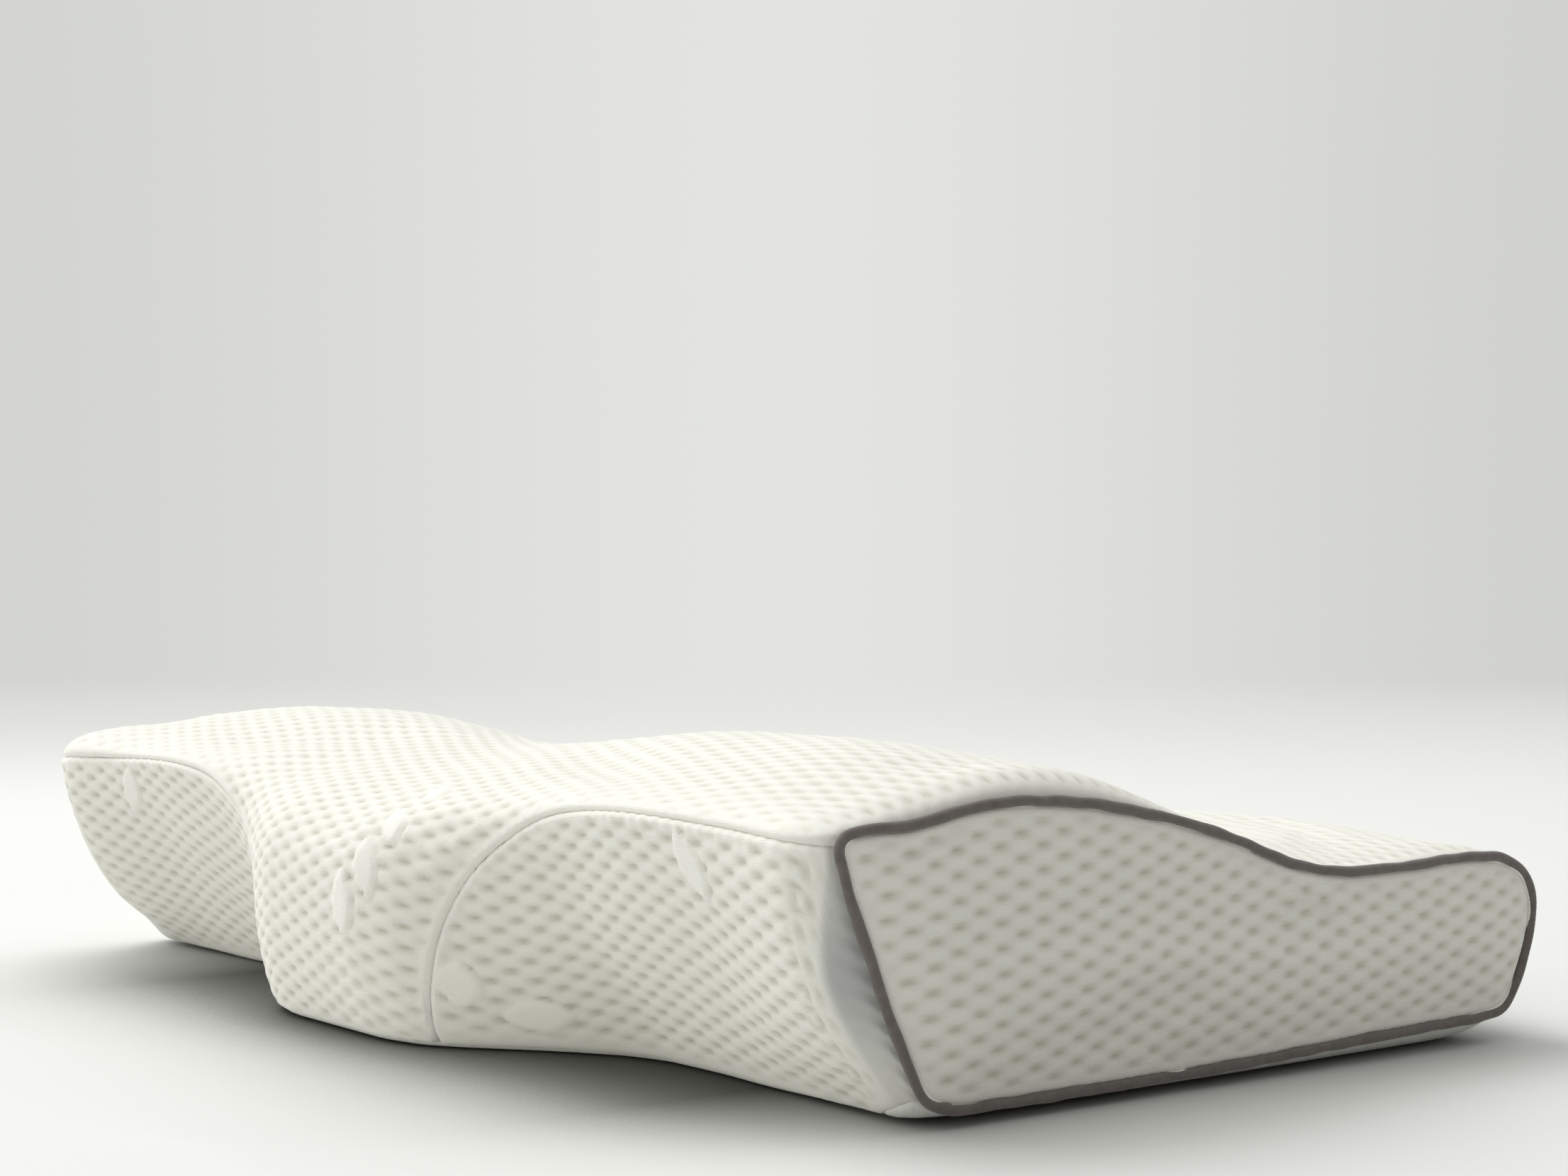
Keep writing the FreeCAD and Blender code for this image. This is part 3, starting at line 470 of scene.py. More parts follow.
def panel(name, cols, us, wmin, wmax, shape, thick=0.2, dv=LW / 4, inner_rows=14):
    """A sewn panel: columns of vertices on the knit's own rows, with extra rows along the cut edges, closed by a plain
    inside face.
    cols: positions along the panel; us: fabric u of each; shape(J, U, W, outer) -> points."""
    n = len(cols)
    slopes = []
    for f in (wmin, wmax):
        g = np.gradient(f, us)
        slopes.append(np.sqrt(1 + np.clip(g, -6, 6) ** 2))
    K0 = int(math.floor(wmin.min() / dv))
    K1 = int(math.ceil(wmax.max() / dv))
    nb = len(EDGE)
    slots = nb + (K1 - K0 + 1) + nb
    idx = np.zeros((n, slots), int)
    P, U, W = [], [], []
    count = 0
    for j in range(n):
        h = wmax[j] - wmin[j]
        sc0 = min(slopes[0][j], h / (2.6 * EDGE[-1])) if h > 1e-6 else 0
        sc1 = min(slopes[1][j], h / (2.6 * EDGE[-1])) if h > 1e-6 else 0
        low = wmin[j] + np.array(EDGE) * sc0
        top = wmax[j] - np.array(EDGE)[::-1] * sc1
        k = np.arange(K0, K1 + 1)
        inside = k[(k * dv > low[-1] + 0.06) & (k * dv < top[0] - 0.06)]
        w = np.r_[low, inside * dv, top]
        idx[j, :nb] = count + np.arange(nb)
        idx[j, slots - nb:] = count + nb + len(inside) + np.arange(nb)
        mid = np.full(K1 - K0 + 1, count + nb - 1)
        if len(inside):
            mid[k > inside[-1]] = count + nb + len(inside)
            mid[inside - K0] = count + nb + np.arange(len(inside))
            # rows between, if any were skipped, keep to the lower edge
        else:
            mid[:] = count + nb - 1
        idx[j, nb:slots - nb] = mid
        U.append(np.full(len(w), us[j]))
        W.append(w)
        P.append(np.full(len(w), j))
        count += len(w)
    U, W, J = np.concatenate(U), np.concatenate(W), np.concatenate(P)
    faces = []
    a, b = idx[:-1, :-1].ravel(), idx[1:, :-1].ravel()
    c, d = idx[1:, 1:].ravel(), idx[:-1, 1:].ravel()
    for q in zip(a.tolist(), b.tolist(), c.tolist(), d.tolist()):
        if q[0] == q[3]:
            if q[1] != q[2]:
                faces.append((q[0], q[1], q[2]))
        elif q[1] == q[2]:
            faces.append((q[0], q[1], q[3]))
        else:
            faces.append(q)
    outer_pos = shape(J, U, W, True)
    # inside face
    R = inner_rows
    ti = np.linspace(0, 1, R + 1)
    Ji = np.repeat(np.arange(n), R + 1)
    Ui = us[Ji]
    Wi = (wmin[:, None] + (wmax - wmin)[:, None] * ti[None]).ravel()
    inner_pos = shape(Ji, Ui, Wi, False)
    off = len(outer_pos)
    I = off + np.arange(n * (R + 1)).reshape(n, R + 1)
    for j in range(n - 1):
        for r in range(R):
            faces.append((int(I[j, r]), int(I[j, r + 1]), int(I[j + 1, r + 1]), int(I[j + 1, r])))
        faces.append((int(idx[j, 0]), int(I[j, 0]), int(I[j + 1, 0]), int(idx[j + 1, 0])))
        faces.append((int(idx[j, -1]), int(idx[j + 1, -1]), int(I[j + 1, R]), int(I[j, R])))
    for j, flip in ((0, False), (n - 1, True)):
        lo = []
        for q in idx[j].tolist():
            if not lo or lo[-1] != q:
                lo.append(q)
        li = I[j].tolist()
        wo = [(W[q] - wmin[j]) / max(1e-6, wmax[j] - wmin[j]) for q in lo]
        i0 = i1 = 0
        while i0 < len(lo) - 1 or i1 < len(li) - 1:
            if i1 == len(li) - 1 or (i0 < len(lo) - 1 and wo[i0 + 1] <= ti[i1 + 1]):
                f = (lo[i0], lo[i0 + 1], li[i1])
                i0 += 1
            else:
                f = (lo[i0], li[i1 + 1], li[i1])
                i1 += 1
            faces.append(f if not flip else f[::-1])
    V = np.vstack([outer_pos, inner_pos])
    uv = np.c_[np.r_[U, Ui], np.r_[W, Wi]]
    return V, faces, uv, off


# ---- columns shared by the wrap-round panels --------------------------------
DU = LU / 5
flat = np.arange(0, int(27.0 / DU) + 1) * DU
flat = flat[flat < AW - 0.05]
phi = np.radians(np.arange(0, 82, 5.2))
phi = np.r_[phi[phi < 1.33], 1.37, math.asin((29.0 - AW) / (AR - AW))]
turn_x = np.r_[AW + (AR - AW) * np.sin(phi), 29.05, 29.12, 29.2]
turn_c = np.r_[np.cos(phi), 0.04, 0.0, 0.0]
seg = np.hypot(np.diff(turn_x), 0.85 * np.diff(turn_c))
turn_u = AW + np.r_[0, np.cumsum(seg)]
half = np.r_[flat, turn_x]
half_u = np.r_[flat, turn_u]
XC = np.r_[-half[:0:-1], half]
UC = np.r_[-half_u[:0:-1], half_u]
U_END = float(half_u[-1])
COLS = [Column(x) for x in XC]
W_FRONT, W_SEAM, W_BACK, V_LOWB = [], [], [], []
for c in COLS:
    a = abs(c.x)
    vf = v_front_at_z(c.P, low_z(a))
    wf = c.w_at(vf)
    W_FRONT.append(wf)
    if a <= SX[0]:
        W_SEAM.append(wf)
    else:
        z = float(np.interp(a, SX, SZ))
        W_SEAM.append(max(wf, c.w_at(v_front_at_z(c.P, z))))
    W_BACK.append(c.w_at(v_back_at_z(c.P, 4.55 if a < 20.55 else 4.02)))
    V_LOWB.append(v_back_at_z(c.P, low_z(a)))
W_FRONT, W_SEAM, W_BACK, V_LOWB = map(np.array, (W_FRONT, W_SEAM, W_BACK, V_LOWB))

warp_u, warp_w = Wobble(11, 14.0), Wobble(12, 14.0)
lumps = Wobble(21, 9.0)
fine = Wobble(22, 3.2)


def lay_out(cols, J, v):
    """Points and normals for vertices grouped by column."""
    p = np.zeros((len(v), 3))
    n = np.zeros((len(v), 3))
    s = np.zeros(len(v))
    order = np.argsort(J, kind="stable")
    js, starts = np.unique(J[order], return_index=True)
    ends = np.r_[starts[1:], len(order)]
    for j, a, b in zip(js, starts, ends):
        k = order[a:b]
        p[k], n[k] = cols[j].at(v[k])
        s[k] = sim_at(cols[j].x, v[k])
    return p, n, s


def v_of(cols, J, W):
    v = np.zeros(len(W))
    order = np.argsort(J, kind="stable")
    js, starts = np.unique(J[order], return_index=True)
    ends = np.r_[starts[1:], len(order)]
    for j, a, b in zip(js, starts, ends):
        k = order[a:b]
        v[k] = cols[j].v_at(W[k])
    return v


def seam_roll(e, depth=0.16, reach=0.34):
    """The cut edge turns in towards the seam allowance."""
    t = np.clip(1 - e / reach, 0, 1)
    return -depth * t ** 2.2


def welt(e, height=0.045, at=0.2, width=0.13):
    """Soft ridge where the allowance lies under the cloth."""
    return height * np.exp(-((e - at) / width) ** 2)


def pucker(e, s, amp, period, seed, reach=0.45):
    w = Wobble(seed, 5.0)
    ph = 2 * math.pi * s / period + 1.3 * w(s, s * 0)
    return amp * np.sin(ph) * np.exp(-e / reach) * (0.7 + 0.5 * w(s * 0.6, s * 0 + 3))


STORE = {}


def top_panel():
    us = UC
    # denser samples along the steep seam
    t = np.linspace(0, len(us) - 1, 3000)
    lf = np.c_[np.interp(t, np.arange(len(us)), us), np.interp(t, np.arange(len(us)), W_SEAM)]

    def shape(J, U, W, outer):
        v = v_of(COLS, J, W)
        p, n, s = lay_out(COLS, J, v)
        ef, sf = near(np.c_[U, W], lf)
        # on the lobe the front edge is the base seam, elsewhere the wing seam
        eb = np.abs(W_BACK[J] - W)
        es = np.maximum(0, U_END - np.abs(U))
        d = s + 0.03 * lumps(U, W) * sstep(0, 3, ef) * sstep(0, 3, es)
        # the far end is plumper at its front corner
        d = d + 0.42 * sstep(-21, -27, U) * np.exp(-((ef - 1.5) / 2.0) ** 2) * sstep(0.15, 1.4, es)
        d = d + seam_roll(ef, 0.11, 0.2) + welt(ef) * sstep(6.0, 6.8, np.abs(U)) + seam_roll(eb, 0.12, 0.25) + seam_roll(es, 0.10, 0.22)
        d = d + pucker(ef, sf, 0.022, 0.62, 31) + pucker(es, W, 0.03, 0.8, 32, 0.6) + pucker(eb, U, 0.018, 0.6, 33, 0.4)
        uu = U + 0.05 * warp_u(U, W)
        ww = W + 0.05 * warp_w(U, W)
        if outer:
            m, rim = ovals(U, W, MOTIF_TOP)
            fade = sstep(0.12, 0.6, ef) * sstep(0.25, 1.1, es) * sstep(0.1, 0.5, eb)
            # stretched tight over the neck ridge and the shoulder edges, so shallower there
            tight = 1 - 0.35 * sstep(2.2, 0.6, np.abs(W + 8.3 + 0 * U)) * sstep(9, 14, np.abs(U))
            dd = dimple(uu, ww) * fade * (1 - m) * tight
            d = d - 0.105 * dd + 0.055 * m - 0.05 * rim * fade
            STORE["top"] = (np.c_[uu, ww], dd, m)
        else:
            d = d - 0.2
        q = p + n * d[:, None]
        return q

    V, F, uv, off = panel("top", COLS, us, W_SEAM, W_BACK, shape)
    g, dd, m = STORE["top"]
    uv[:len(g)] = g
    z = np.zeros(len(V) - len(g))
    return make_object("top_panel_knit", V, F, uv, {"pit": np.r_[dd, z], "motif": np.r_[m, z]})


def wing_panel(side):
    # columns at even spacing along the cloth, measured at mid height
    xs = np.r_[np.arange(SX[0] + 0.02, 27.0, 0.1), AW + (AR - AW) * np.sin(np.linspace(0.0, 1.4266, 60))]
    xs[-1] = 29.0
    xs = np.r_[xs, 29.05, 29.12, 29.2]
    ym = np.array([curve(section(x), [4.5])[0, 0] for x in xs])
    arc = np.r_[0, np.cumsum(np.hypot(np.diff(xs), np.diff(ym)))]
    du = LU / 6
    k = np.arange(0, int((arc[-1] - 0.2) / du) + 1) * du
    cu = np.r_[k[k < arc[-1] - 0.17], arc[-1] - 0.11, arc[-1] - 0.05, arc[-1]]
    cx = np.interp(cu, arc, xs)
    cols = [Column(side * x) for x in cx]
    wmin = np.array([c.w_at(v_front_at_z(c.P, low_z(c.x))) for c in cols])
    wmax = np.array([max(w, c.w_at(v_front_at_z(c.P, float(np.interp(abs(c.x), SX, SZ))))) for c, w in zip(cols, wmin)])
    wmax[0] = wmin[0] + 0.02
    t = np.linspace(0, len(cx) - 1, 2500)
    i = np.arange(len(cx))
    # distances in cloth coordinates
    lt = np.c_[np.interp(t, i, cu), np.interp(t, i, wmax)]
    lb = np.c_[np.interp(t, i, cu), np.interp(t, i, wmin)]
    uend = cu[-1]

    def shape(J, U, W, outer):
        v = v_of(cols, J, W)
        p, n, s = lay_out(cols, J, v)
        et, st = near(np.c_[U, W], lt)
        eb, sb = near(np.c_[U, W], lb)
        ee = uend - U
        h = W - wmin[J]
        d = s + 0.03 * lumps(U + 40 * side, W) * sstep(0, 2, et) * sstep(0, 2, eb)
        if side < 0:
            d = d + 0.36 * np.exp(-((ee - 0.8) / 3.5) ** 2) * (1 - np.exp(-ee / 0.4)) * sstep(0.3, 3.0, h)
        d = d + seam_roll(et, 0.11, 0.2) + welt(et, 0.03) + seam_roll(eb, 0.05, 0.25) + seam_roll(ee, 0.10, 0.22)
        d = d + pucker(et, st, 0.022, 0.62, 41) + pucker(ee, W, 0.05, 0.93, 42, 0.6) + pucker(eb, sb, 0.008, 0.7, 43, 0.4)
        # plain strip beside the piping, wider towards the base, with painted shade on it that is darkest at mid height
        wb = 0.42 + 1.3 * sstep(9.8, 4.5, h)
        strip_shade = (1 - sstep(wb * 0.75, wb * 1.1, ee)) * (0.35 + 0.65 * np.exp(-((h - 5.0) / 2.6) ** 2))
        uu = U + 0.05 * warp_u(U + 30, W)
        ww = W + 0.05 * warp_w(U + 30, W)
        # the cloth is drawn towards the piping at the end, which stretches the last dimples
        if outer:
            m, rim = ovals(U, h, MOTIF_WING)
            fade = sstep(0.12, 0.55, et) * sstep(0.25, 1.1, eb)
            dd = dimple(uu, ww) * sstep(wb + 0.1, wb + 1.3, ee)
            # drawn out into upright folds next to the strip
            bars = ((np.cos(2 * math.pi * uu / (LU * 0.62)) + 1) / 2) ** 1.6 * sstep(wb, wb + 0.25, ee) * sstep(wb + 1.9, wb + 0.9, ee)
            bars = bars * (0.55 + 0.45 * np.cos(2 * math.pi * ww / (LW * 1.4)))
            dd = np.maximum(dd, 0.8 * bars) * fade * (1 - m)
            d = d - 0.115 * dd + 0.05 * m - 0.05 * rim * fade
            STORE["wing"] = (np.c_[uu, ww], dd, m, strip_shade)
        else:
            d = d - 0.2
        q = p + n * d[:, None]
        return q

    V, F, uv, off = panel("wing", cols, cu, wmin, wmax, shape, dv=LW / 6, inner_rows=10)
    g, dd, m, strip_shade = STORE["wing"]
    uv[:len(g)] = g
    z = np.zeros(len(V) - len(g))
    ob = make_object("front_wing_knit_" + ("right" if side > 0 else "left"), V, F, uv,
                     {"pit": np.r_[dd, z], "motif": np.r_[m, z], "strip_shade": np.r_[strip_shade, z]})
    fix_normals(ob)
    return ob


def bottom_panel():
    sel = np.r_[np.arange(0, len(XC), 2)]
    if sel[-1] != len(XC) - 1:
        sel = np.r_[sel, len(XC) - 1]
    cols = [COLS[i] for i in sel]
    us = UC[sel]
    vf = np.array([v_front_at_z(c.P, low_z(c.x)) for c in cols])
    vb = V_LOWB[sel]
    # w is a plain 0..1 run from the back seam under the base to the front seam
    lens = []
    maps = []
    for c, a, b in zip(cols, vb, vf):
        v = np.linspace(a, b + 40, 200)
        C = curve(c.P, v)
        s = np.r_[0, np.cumsum(np.hypot(*np.diff(C, axis=0).T))]
        maps.append((s, v))
        lens.append(s[-1])
    wmin = np.zeros(len(cols))
    wmax = np.array(lens)

    def shape(J, U, W, outer):
        v = np.zeros(len(W))
        for j in range(len(cols)):
            k = np.nonzero(J == j)[0]
            v[k] = np.interp(W[k], *maps[j])
        p, n, s = lay_out(cols, J, v)
        e0, e1, es = W, wmax[J] - W, np.maximum(0, U_END - np.abs(U))
        d = seam_roll(e0, 0.05, 0.25) + seam_roll(e1, 0.05, 0.25) + seam_roll(es, 0.10, 0.22)
        d = d + (pucker(e0, U, 0.008, 0.7, 51, 0.4) + pucker(e1, U, 0.008, 0.7, 52, 0.4)) * sstep(0.02, 0.2, p[:, 2])
        if not outer:
            d = d - 0.2
        q = p + n * d[:, None]
        q[:, 2] = np.maximum(q[:, 2], 0.0 if outer else 0.2)
        return q

    V, F, uv, off = panel("bottom", cols, us, wmin, wmax, shape, dv=0.3, inner_rows=20)
    ob = make_object("bottom_panel_knit", V, F, uv, {"pit": np.zeros(len(V)), "motif": np.zeros(len(V))})
    fix_normals(ob)
    return ob


def back_strip():
    us = UC
    wlo = np.array([c.w_at(v_back_at_z(c.P, 3.45 if abs(c.x) < 20.55 else 3.98)) for c in COLS])
    whi = np.array([c.w_at(v) for c, v in zip(COLS, V_LOWB)])

    def shape(J, U, W, outer):
        v = v_of(COLS, J, W)
        p, n, s = lay_out(COLS, J, v)
        e0, e1, es = W - wlo[J], whi[J] - W, np.maximum(0, U_END - np.abs(U))
        d = s + seam_roll(e0, 0.12, 0.25) + seam_roll(e1, 0.10, 0.3) + seam_roll(es, 0.10, 0.22)
        d = d + pucker(e0, U, 0.018, 0.6, 61, 0.4) + pucker(e1, U, 0.02, 0.7, 62, 0.4)
        uu = U + 0.05 * warp_u(U, W)
        ww = W + 0.05 * warp_w(U, W)
        if outer:
            fade = sstep(0.1, 0.5, e0) * sstep(0.1, 0.5, e1) * sstep(0.25, 1.1, es)
            dd = dimple(uu, ww) * fade
            d = d - 0.105 * dd
            STORE["strip"] = (np.c_[uu, ww], dd)
        else:
            d = d - 0.2
        return p + n * d[:, None]

    V, F, uv, off = panel("strip", COLS, us, wlo, whi, shape, inner_rows=6)
    g, dd = STORE["strip"]
    uv[:len(g)] = g
    z = np.zeros(len(V) - len(g))
    ob = make_object("back_strip_knit", V, F, uv, {"pit": np.r_[dd, z], "motif": np.zeros(len(V))})
    fix_normals(ob)
    return ob


# ---- end panels -----------------------------------------------------------------
ENDP = np.array(END)
LOOPV = np.arange(0, 40, 0.05)


def end_panel(side):
    rim = curve(inset(ENDP, 0.05), LOOPV)
    y0, y1 = rim[:, 0].min() + 0.02, rim[:, 0].max() - 0.02
    du = LU / 6
    k = np.arange(math.ceil((y0 + 0.15) / du), math.floor((y1 - 0.15) / du) + 1)
    ys = np.r_[y0, y0 + 0.05, y0 + 0.11, k[k * du > y0 + 0.17] * du, y1 - 0.11, y1 - 0.05, y1]
    ys = np.unique(np.round(ys, 4))
    i0, i1 = rim[:, 0].argmin(), rim[:, 0].argmax()
    # lower and upper runs of the rim between its two y extremes
    up = rim[i0:i1 + 1]
    dn = np.vstack([rim[i1:], rim[:i0 + 1]])[::-1]
    zhi = np.interp(ys, up[:, 0], np.maximum.accumulate(up[:, 0] * 0) + up[:, 1])
    zlo = np.interp(ys, dn[:, 0], dn[:, 1])
    zhi = np.maximum(zhi, zlo + 0.01)

    def shape(J, U, W, outer):
        q = np.c_[U, W]
        e, at = near(q, rim)
        x = AE + 0.07 * (W - 5)
        crown = 0.30 * (1 - np.exp(-e / 0.9)) + 0.22 * (1 - np.exp(-(e / 3.2) ** 2))
        if len(CAP_P) > 1:
            sd = np.zeros(len(U))
            cp = CAP_P[:, 1:]
            for k0 in range(0, len(U), 4000):
                dd2 = (U[k0:k0 + 4000, None] - cp[None, :, 0]) ** 2 + (W[k0:k0 + 4000, None] - cp[None, :, 1]) ** 2
                w8 = 1 / (dd2 + 0.15) ** 2
                sd[k0:k0 + 4000] = (w8 * CAP_D[None]).sum(1) / w8.sum(1)
            crown = crown + 0.35 * sd * (1 - np.exp(-e / 0.9))
        d = crown - 0.12 * np.clip(1 - e / 0.24, 0, 1) ** 1.5
        d = d + 0.025 * lumps(U + 77 * side, W * 1.6) * sstep(0, 1.5, e)
        d = d + pucker(e, at, 0.03, 0.85, 71 + side, 0.5) * sstep(0.08, 0.3, e)
        # short creases where the panel is eased round the loop's inner bend and its front corner
        for (ax, az, bx, bz, amp, wd) in CREASES:
            L = math.hypot(bx - ax, bz - az)
            tx, tz = (bx - ax) / L, (bz - az) / L
            a = (U - ax) * tx + (W - az) * tz
            b = -(U - ax) * tz + (W - az) * tx
            env = sstep(-0.35, 0.35, a) * sstep(L + 0.35, L - 0.35, a)
            d = d + amp * env * (np.exp(-(b / wd) ** 2) - 0.6 * np.exp(-((b - 1.7 * wd) / wd) ** 2) - 0.6 * np.exp(-((b + 1.7 * wd) / wd) ** 2))
        uu = U + 0.05 * warp_u(U + 60, W)
        ww = W + 0.05 * warp_w(U + 60, W)
        if outer:
            fade = sstep(0.15, 0.7, e)
            dd = dimple(uu, ww) * fade
            d = d - 0.11 * dd
            STORE["end"] = (np.c_[uu, ww], dd)
        else:
            d = np.minimum(d, 0.0 * d + 0.3) - 0.2
        return np.c_[side * (x + d), U, W]

    V, F, uv, off = panel("end", ys, ys, zlo, zhi, shape, dv=LW / 6, inner_rows=8)
    g, dd = STORE["end"]
    uv[:len(g)] = g
    z = np.zeros(len(V) - len(g))
    ob = make_object("end_panel_knit_" + ("right" if side > 0 else "left"), V, F, uv, {"pit": np.r_[dd, z], "motif": np.zeros(len(V))})
    fix_normals(ob)
    return ob


def piping(side):
    v = np.linspace(0, 40, 1001)[:-1]
    C = curve(ENDP, v)
    s = np.r_[0, np.cumsum(np.hypot(*np.diff(np.vstack([C, C[:1]]), axis=0).T))]
    L = s[-1]
    m = 900
    t = np.arange(m) / m * L
    vv = np.interp(t, s, np.r_[v, 40.0])
    C = curve(ENDP, vv)
    T = np.roll(C, -1, 0) - np.roll(C, 1, 0)
    T /= np.linalg.norm(T, axis=1)[:, None]
    out = np.c_[-T[:, 1], T[:, 0]]            # outwards in the end plane
    nx = np.array([1.0, 0.0, -0.07])
    nx /= np.linalg.norm(nx)
    w1, w2 = Wobble(81 + side, 6.0), Wobble(83 + side, 1.9)
    rad = 0.182 + 0.007 * w1(t, t * 0) + 0.005 * w2(t, t * 0)
    dx = 0.015 * w1(t + 9, t * 0 + 2)
    dn = 0.012 * w2(t + 4, t * 0 + 5)
    NS = 18
    verts, uv = [], []
    for i in range(m):
        o3 = np.array([0, out[i, 0], out[i, 1]])
        o3[0] = 0.07 * o3[2]
        c = np.array([AE + 0.07 * (C[i, 1] - 5) + 0.02 + dx[i], C[i, 0], C[i, 1]]) + o3 * (0.03 - (0.08 * float(sstep(-7, -11, C[i, 0]) * sstep(8.0, 6.5, C[i, 1])) if side < 0 else 0.0) + dn[i])
        for k in range(NS):
            a = 2 * math.pi * k / NS
            # slightly flat where it lies against the panels, with a fine spiral rib
            r = rad[i] * (1 - 0.10 * max(0.0, math.cos(a - math.radians(225))) ** 2)
            rib = 0.003 * math.sin(2 * math.pi * (t[i] / 0.21 + a / (2 * math.pi)))
            q = c + (nx * math.cos(a) + o3 * math.sin(a)) * (r + rib)
            verts.append((side * q[0], q[1], q[2]))
            uv.append((t[i], a * 0.182))
    faces = []
    for i in range(m):
        j = (i + 1) % m
        for k in range(NS):
            l = (k + 1) % NS
            f = (i * NS + k, j * NS + k, j * NS + l, i * NS + l)
            faces.append(f)
    ob = make_object("piping_" + ("right" if side > 0 else "left"), verts, faces, uv)
    fix_normals(ob)
    return ob


# leaf-like ovals, in each panel's cloth coordinates (cm)
MOTIF_TOP = []


def sprig(cu, cw, turn, size=1.0, n=4):
    """A row of plain ovals on a gentle curve."""
    out = []
    for i in range(n):
        a = math.radians(turn + 10 * i)
        u = cu + size * 1.75 * i * math.cos(a)
        w = cw + size * 1.75 * i * math.sin(a)
        out.append((u, w, size * (1.15 - 0.12 * i), size * (0.62 - 0.06 * i), turn + 55 + 12 * i))
    return out


MOTIF_TOP += sprig(3.0, -13.6, 40, 1.15, 4)
MOTIF_TOP += sprig(-16.5, 2.0, 60, 1.0, 4) + sprig(12.5, 6.0, 130, 1.0, 4) + sprig(-3.0, 12.5, 20, 1.0, 4) + sprig(21.5, 16.5, 160, 1.0, 4) + sprig(-25.0, 15.0, 40, 1.0, 4)
MOTIF_WING = [(1.5, 2.6, 0.95, 0.85, 80), (4.0, 1.5, 1.35, 0.7, 8), (16.2, 9.0, 1.3, 0.75, 115)]
# (y, z) to (y, z) on the end panel, height and half width
CREASES = [(1.9, 5.55, 3.3, 6.35, 0.13, 0.17), (3.3, 6.35, 5.2, 5.5, 0.13, 0.17),
           (-14.6, 8.35, -12.0, 9.05, 0.09, 0.18), (-15.2, 7.7, -13.2, 8.4, 0.07, 0.2)]

top = top_panel()
fix_normals(top)
wr, wl = wing_panel(1), wing_panel(-1)
bottom = bottom_panel()
strip = back_strip()
er, el = end_panel(1), end_panel(-1)
pr, pl = piping(1), piping(-1)


# ---- foam block and liner, inside the cover ---------------------------------------
def closed_form(name, depth, xend, step=0.9, flip=False):
    xs = np.r_[-xend, -xend + 0.25, np.arange(-27.2, 27.3, step), xend - 0.25, xend]
    xs = np.unique(np.round(xs, 3))
    v = np.arange(0, 40, 0.4)
    n = len(v)
    verts = []
    for x in xs:
        C = curve(inset(section(x), depth), v)
        verts += np.c_[lean(x, C[:, 1]), C].tolist()
    faces = []
    for i in range(len(xs) - 1):
        for j in range(n):
            k = (j + 1) % n
            faces.append((i * n + j, (i + 1) * n + j, (i + 1) * n + k, i * n + k))
    for i, side in ((0, -1), (len(xs) - 1, 1)):
        ring = [i * n + j for j in range(n)]
        rim = np.array(verts)[ring]
        for r in (0.9, 0.7, 0.45, 0.2):
            spine = np.c_[rim[:, 0], np.clip(rim[:, 1], -12.5, 12.5), np.interp(rim[:, 1], [-16, -9, 6, 16], [5.0, 5.4, 3.9, 4.0])]
            q = spine + (rim - spine) * r
            b = len(verts)
            verts += q.tolist()
            new = list(range(b, b + n))
            for j in range(n):
                k = (j + 1) % n
                f = (ring[j], ring[k], new[k], new[j])
                faces.append(f if side > 0 else f[::-1])
            ring = new
        faces.append(tuple(ring) if side > 0 else tuple(ring[::-1]))
    return verts, faces


fv, ff = closed_form("foam", 0.62, 28.5)
foam = make_object("foam_block", fv, ff)
fix_normals(foam)
lv, lf_ = closed_form("liner", 0.51, 28.7)
iv, if_ = closed_form("liner", 0.56, 28.62)
b = len(lv)
liner = make_object("liner_knit", lv + iv, lf_ + [tuple(b + q for q in f)[::-1] for f in if_])


# ---- zipper coils -------------------------------------------------------------------
YF = 16.6


def coil(name, sign):
    pitch, turns = 0.12, 328
    m = turns * 12
    t = np.arange(m + 1) / 12.0
    x = -19.72 + pitch * t
    ang = 2 * math.pi * t
    zc = 4.0 + sign * (0.045 + 0.088)
    yc = YF - 0.28 + 0.082
    z = zc + 0.082 * np.cos(ang)
    y = yc + 0.058 * np.sin(ang)
    # the heads that face the other coil are broader
    r = 0.024 + 0.006 * np.clip(-sign * np.cos(ang), 0, 1)
    Q = np.c_[x, y, z]
    T = np.gradient(Q, axis=0)
    T /= np.linalg.norm(T, axis=1)[:, None]
    A = np.cross(T, np.array([1.0, 0, 0]))
    A /= np.linalg.norm(A, axis=1)[:, None]
    B = np.cross(T, A)
    NS = 6
    verts = []
    for k in range(NS):
        a = 2 * math.pi * k / NS
        verts.append(Q + (A * math.cos(a) + B * math.sin(a)) * r[:, None])
    verts = np.stack(verts, 1).reshape(-1, 3)
    faces = []
    for i in range(m):
        for k in range(NS):
            l = (k + 1) % NS
            faces.append((i * NS + k, i * NS + l, (i + 1) * NS + l, (i + 1) * NS + k))
    faces.append(tuple(range(NS))[::-1])
    faces.append(tuple(m * NS + k for k in range(NS)))
    # the sewing cord that runs inside the coil
    nb = len(verts)
    xs = np.linspace(-19.75, 19.7, 400)
    cv = []
    for q in xs:
        for k in range(6):
            a = 2 * math.pi * k / 6
            cv.append((q, yc + 0.02 * math.cos(a), zc + 0.03 * math.sin(a)))
    cf = []
    for i in range(len(xs) - 1):
        for k in range(6):
            l = (k + 1) % 6
            cf.append((nb + i * 6 + k, nb + i * 6 + l, nb + (i + 1) * 6 + l, nb + (i + 1) * 6 + k))
    cf.append(tuple(nb + k for k in range(6))[::-1])
    cf.append(tuple(nb + (len(xs) - 1) * 6 + k for k in range(6)))
    ob = make_object(name, np.vstack([verts, np.array(cv)]), faces + cf)
    fix_normals(ob)
    return ob


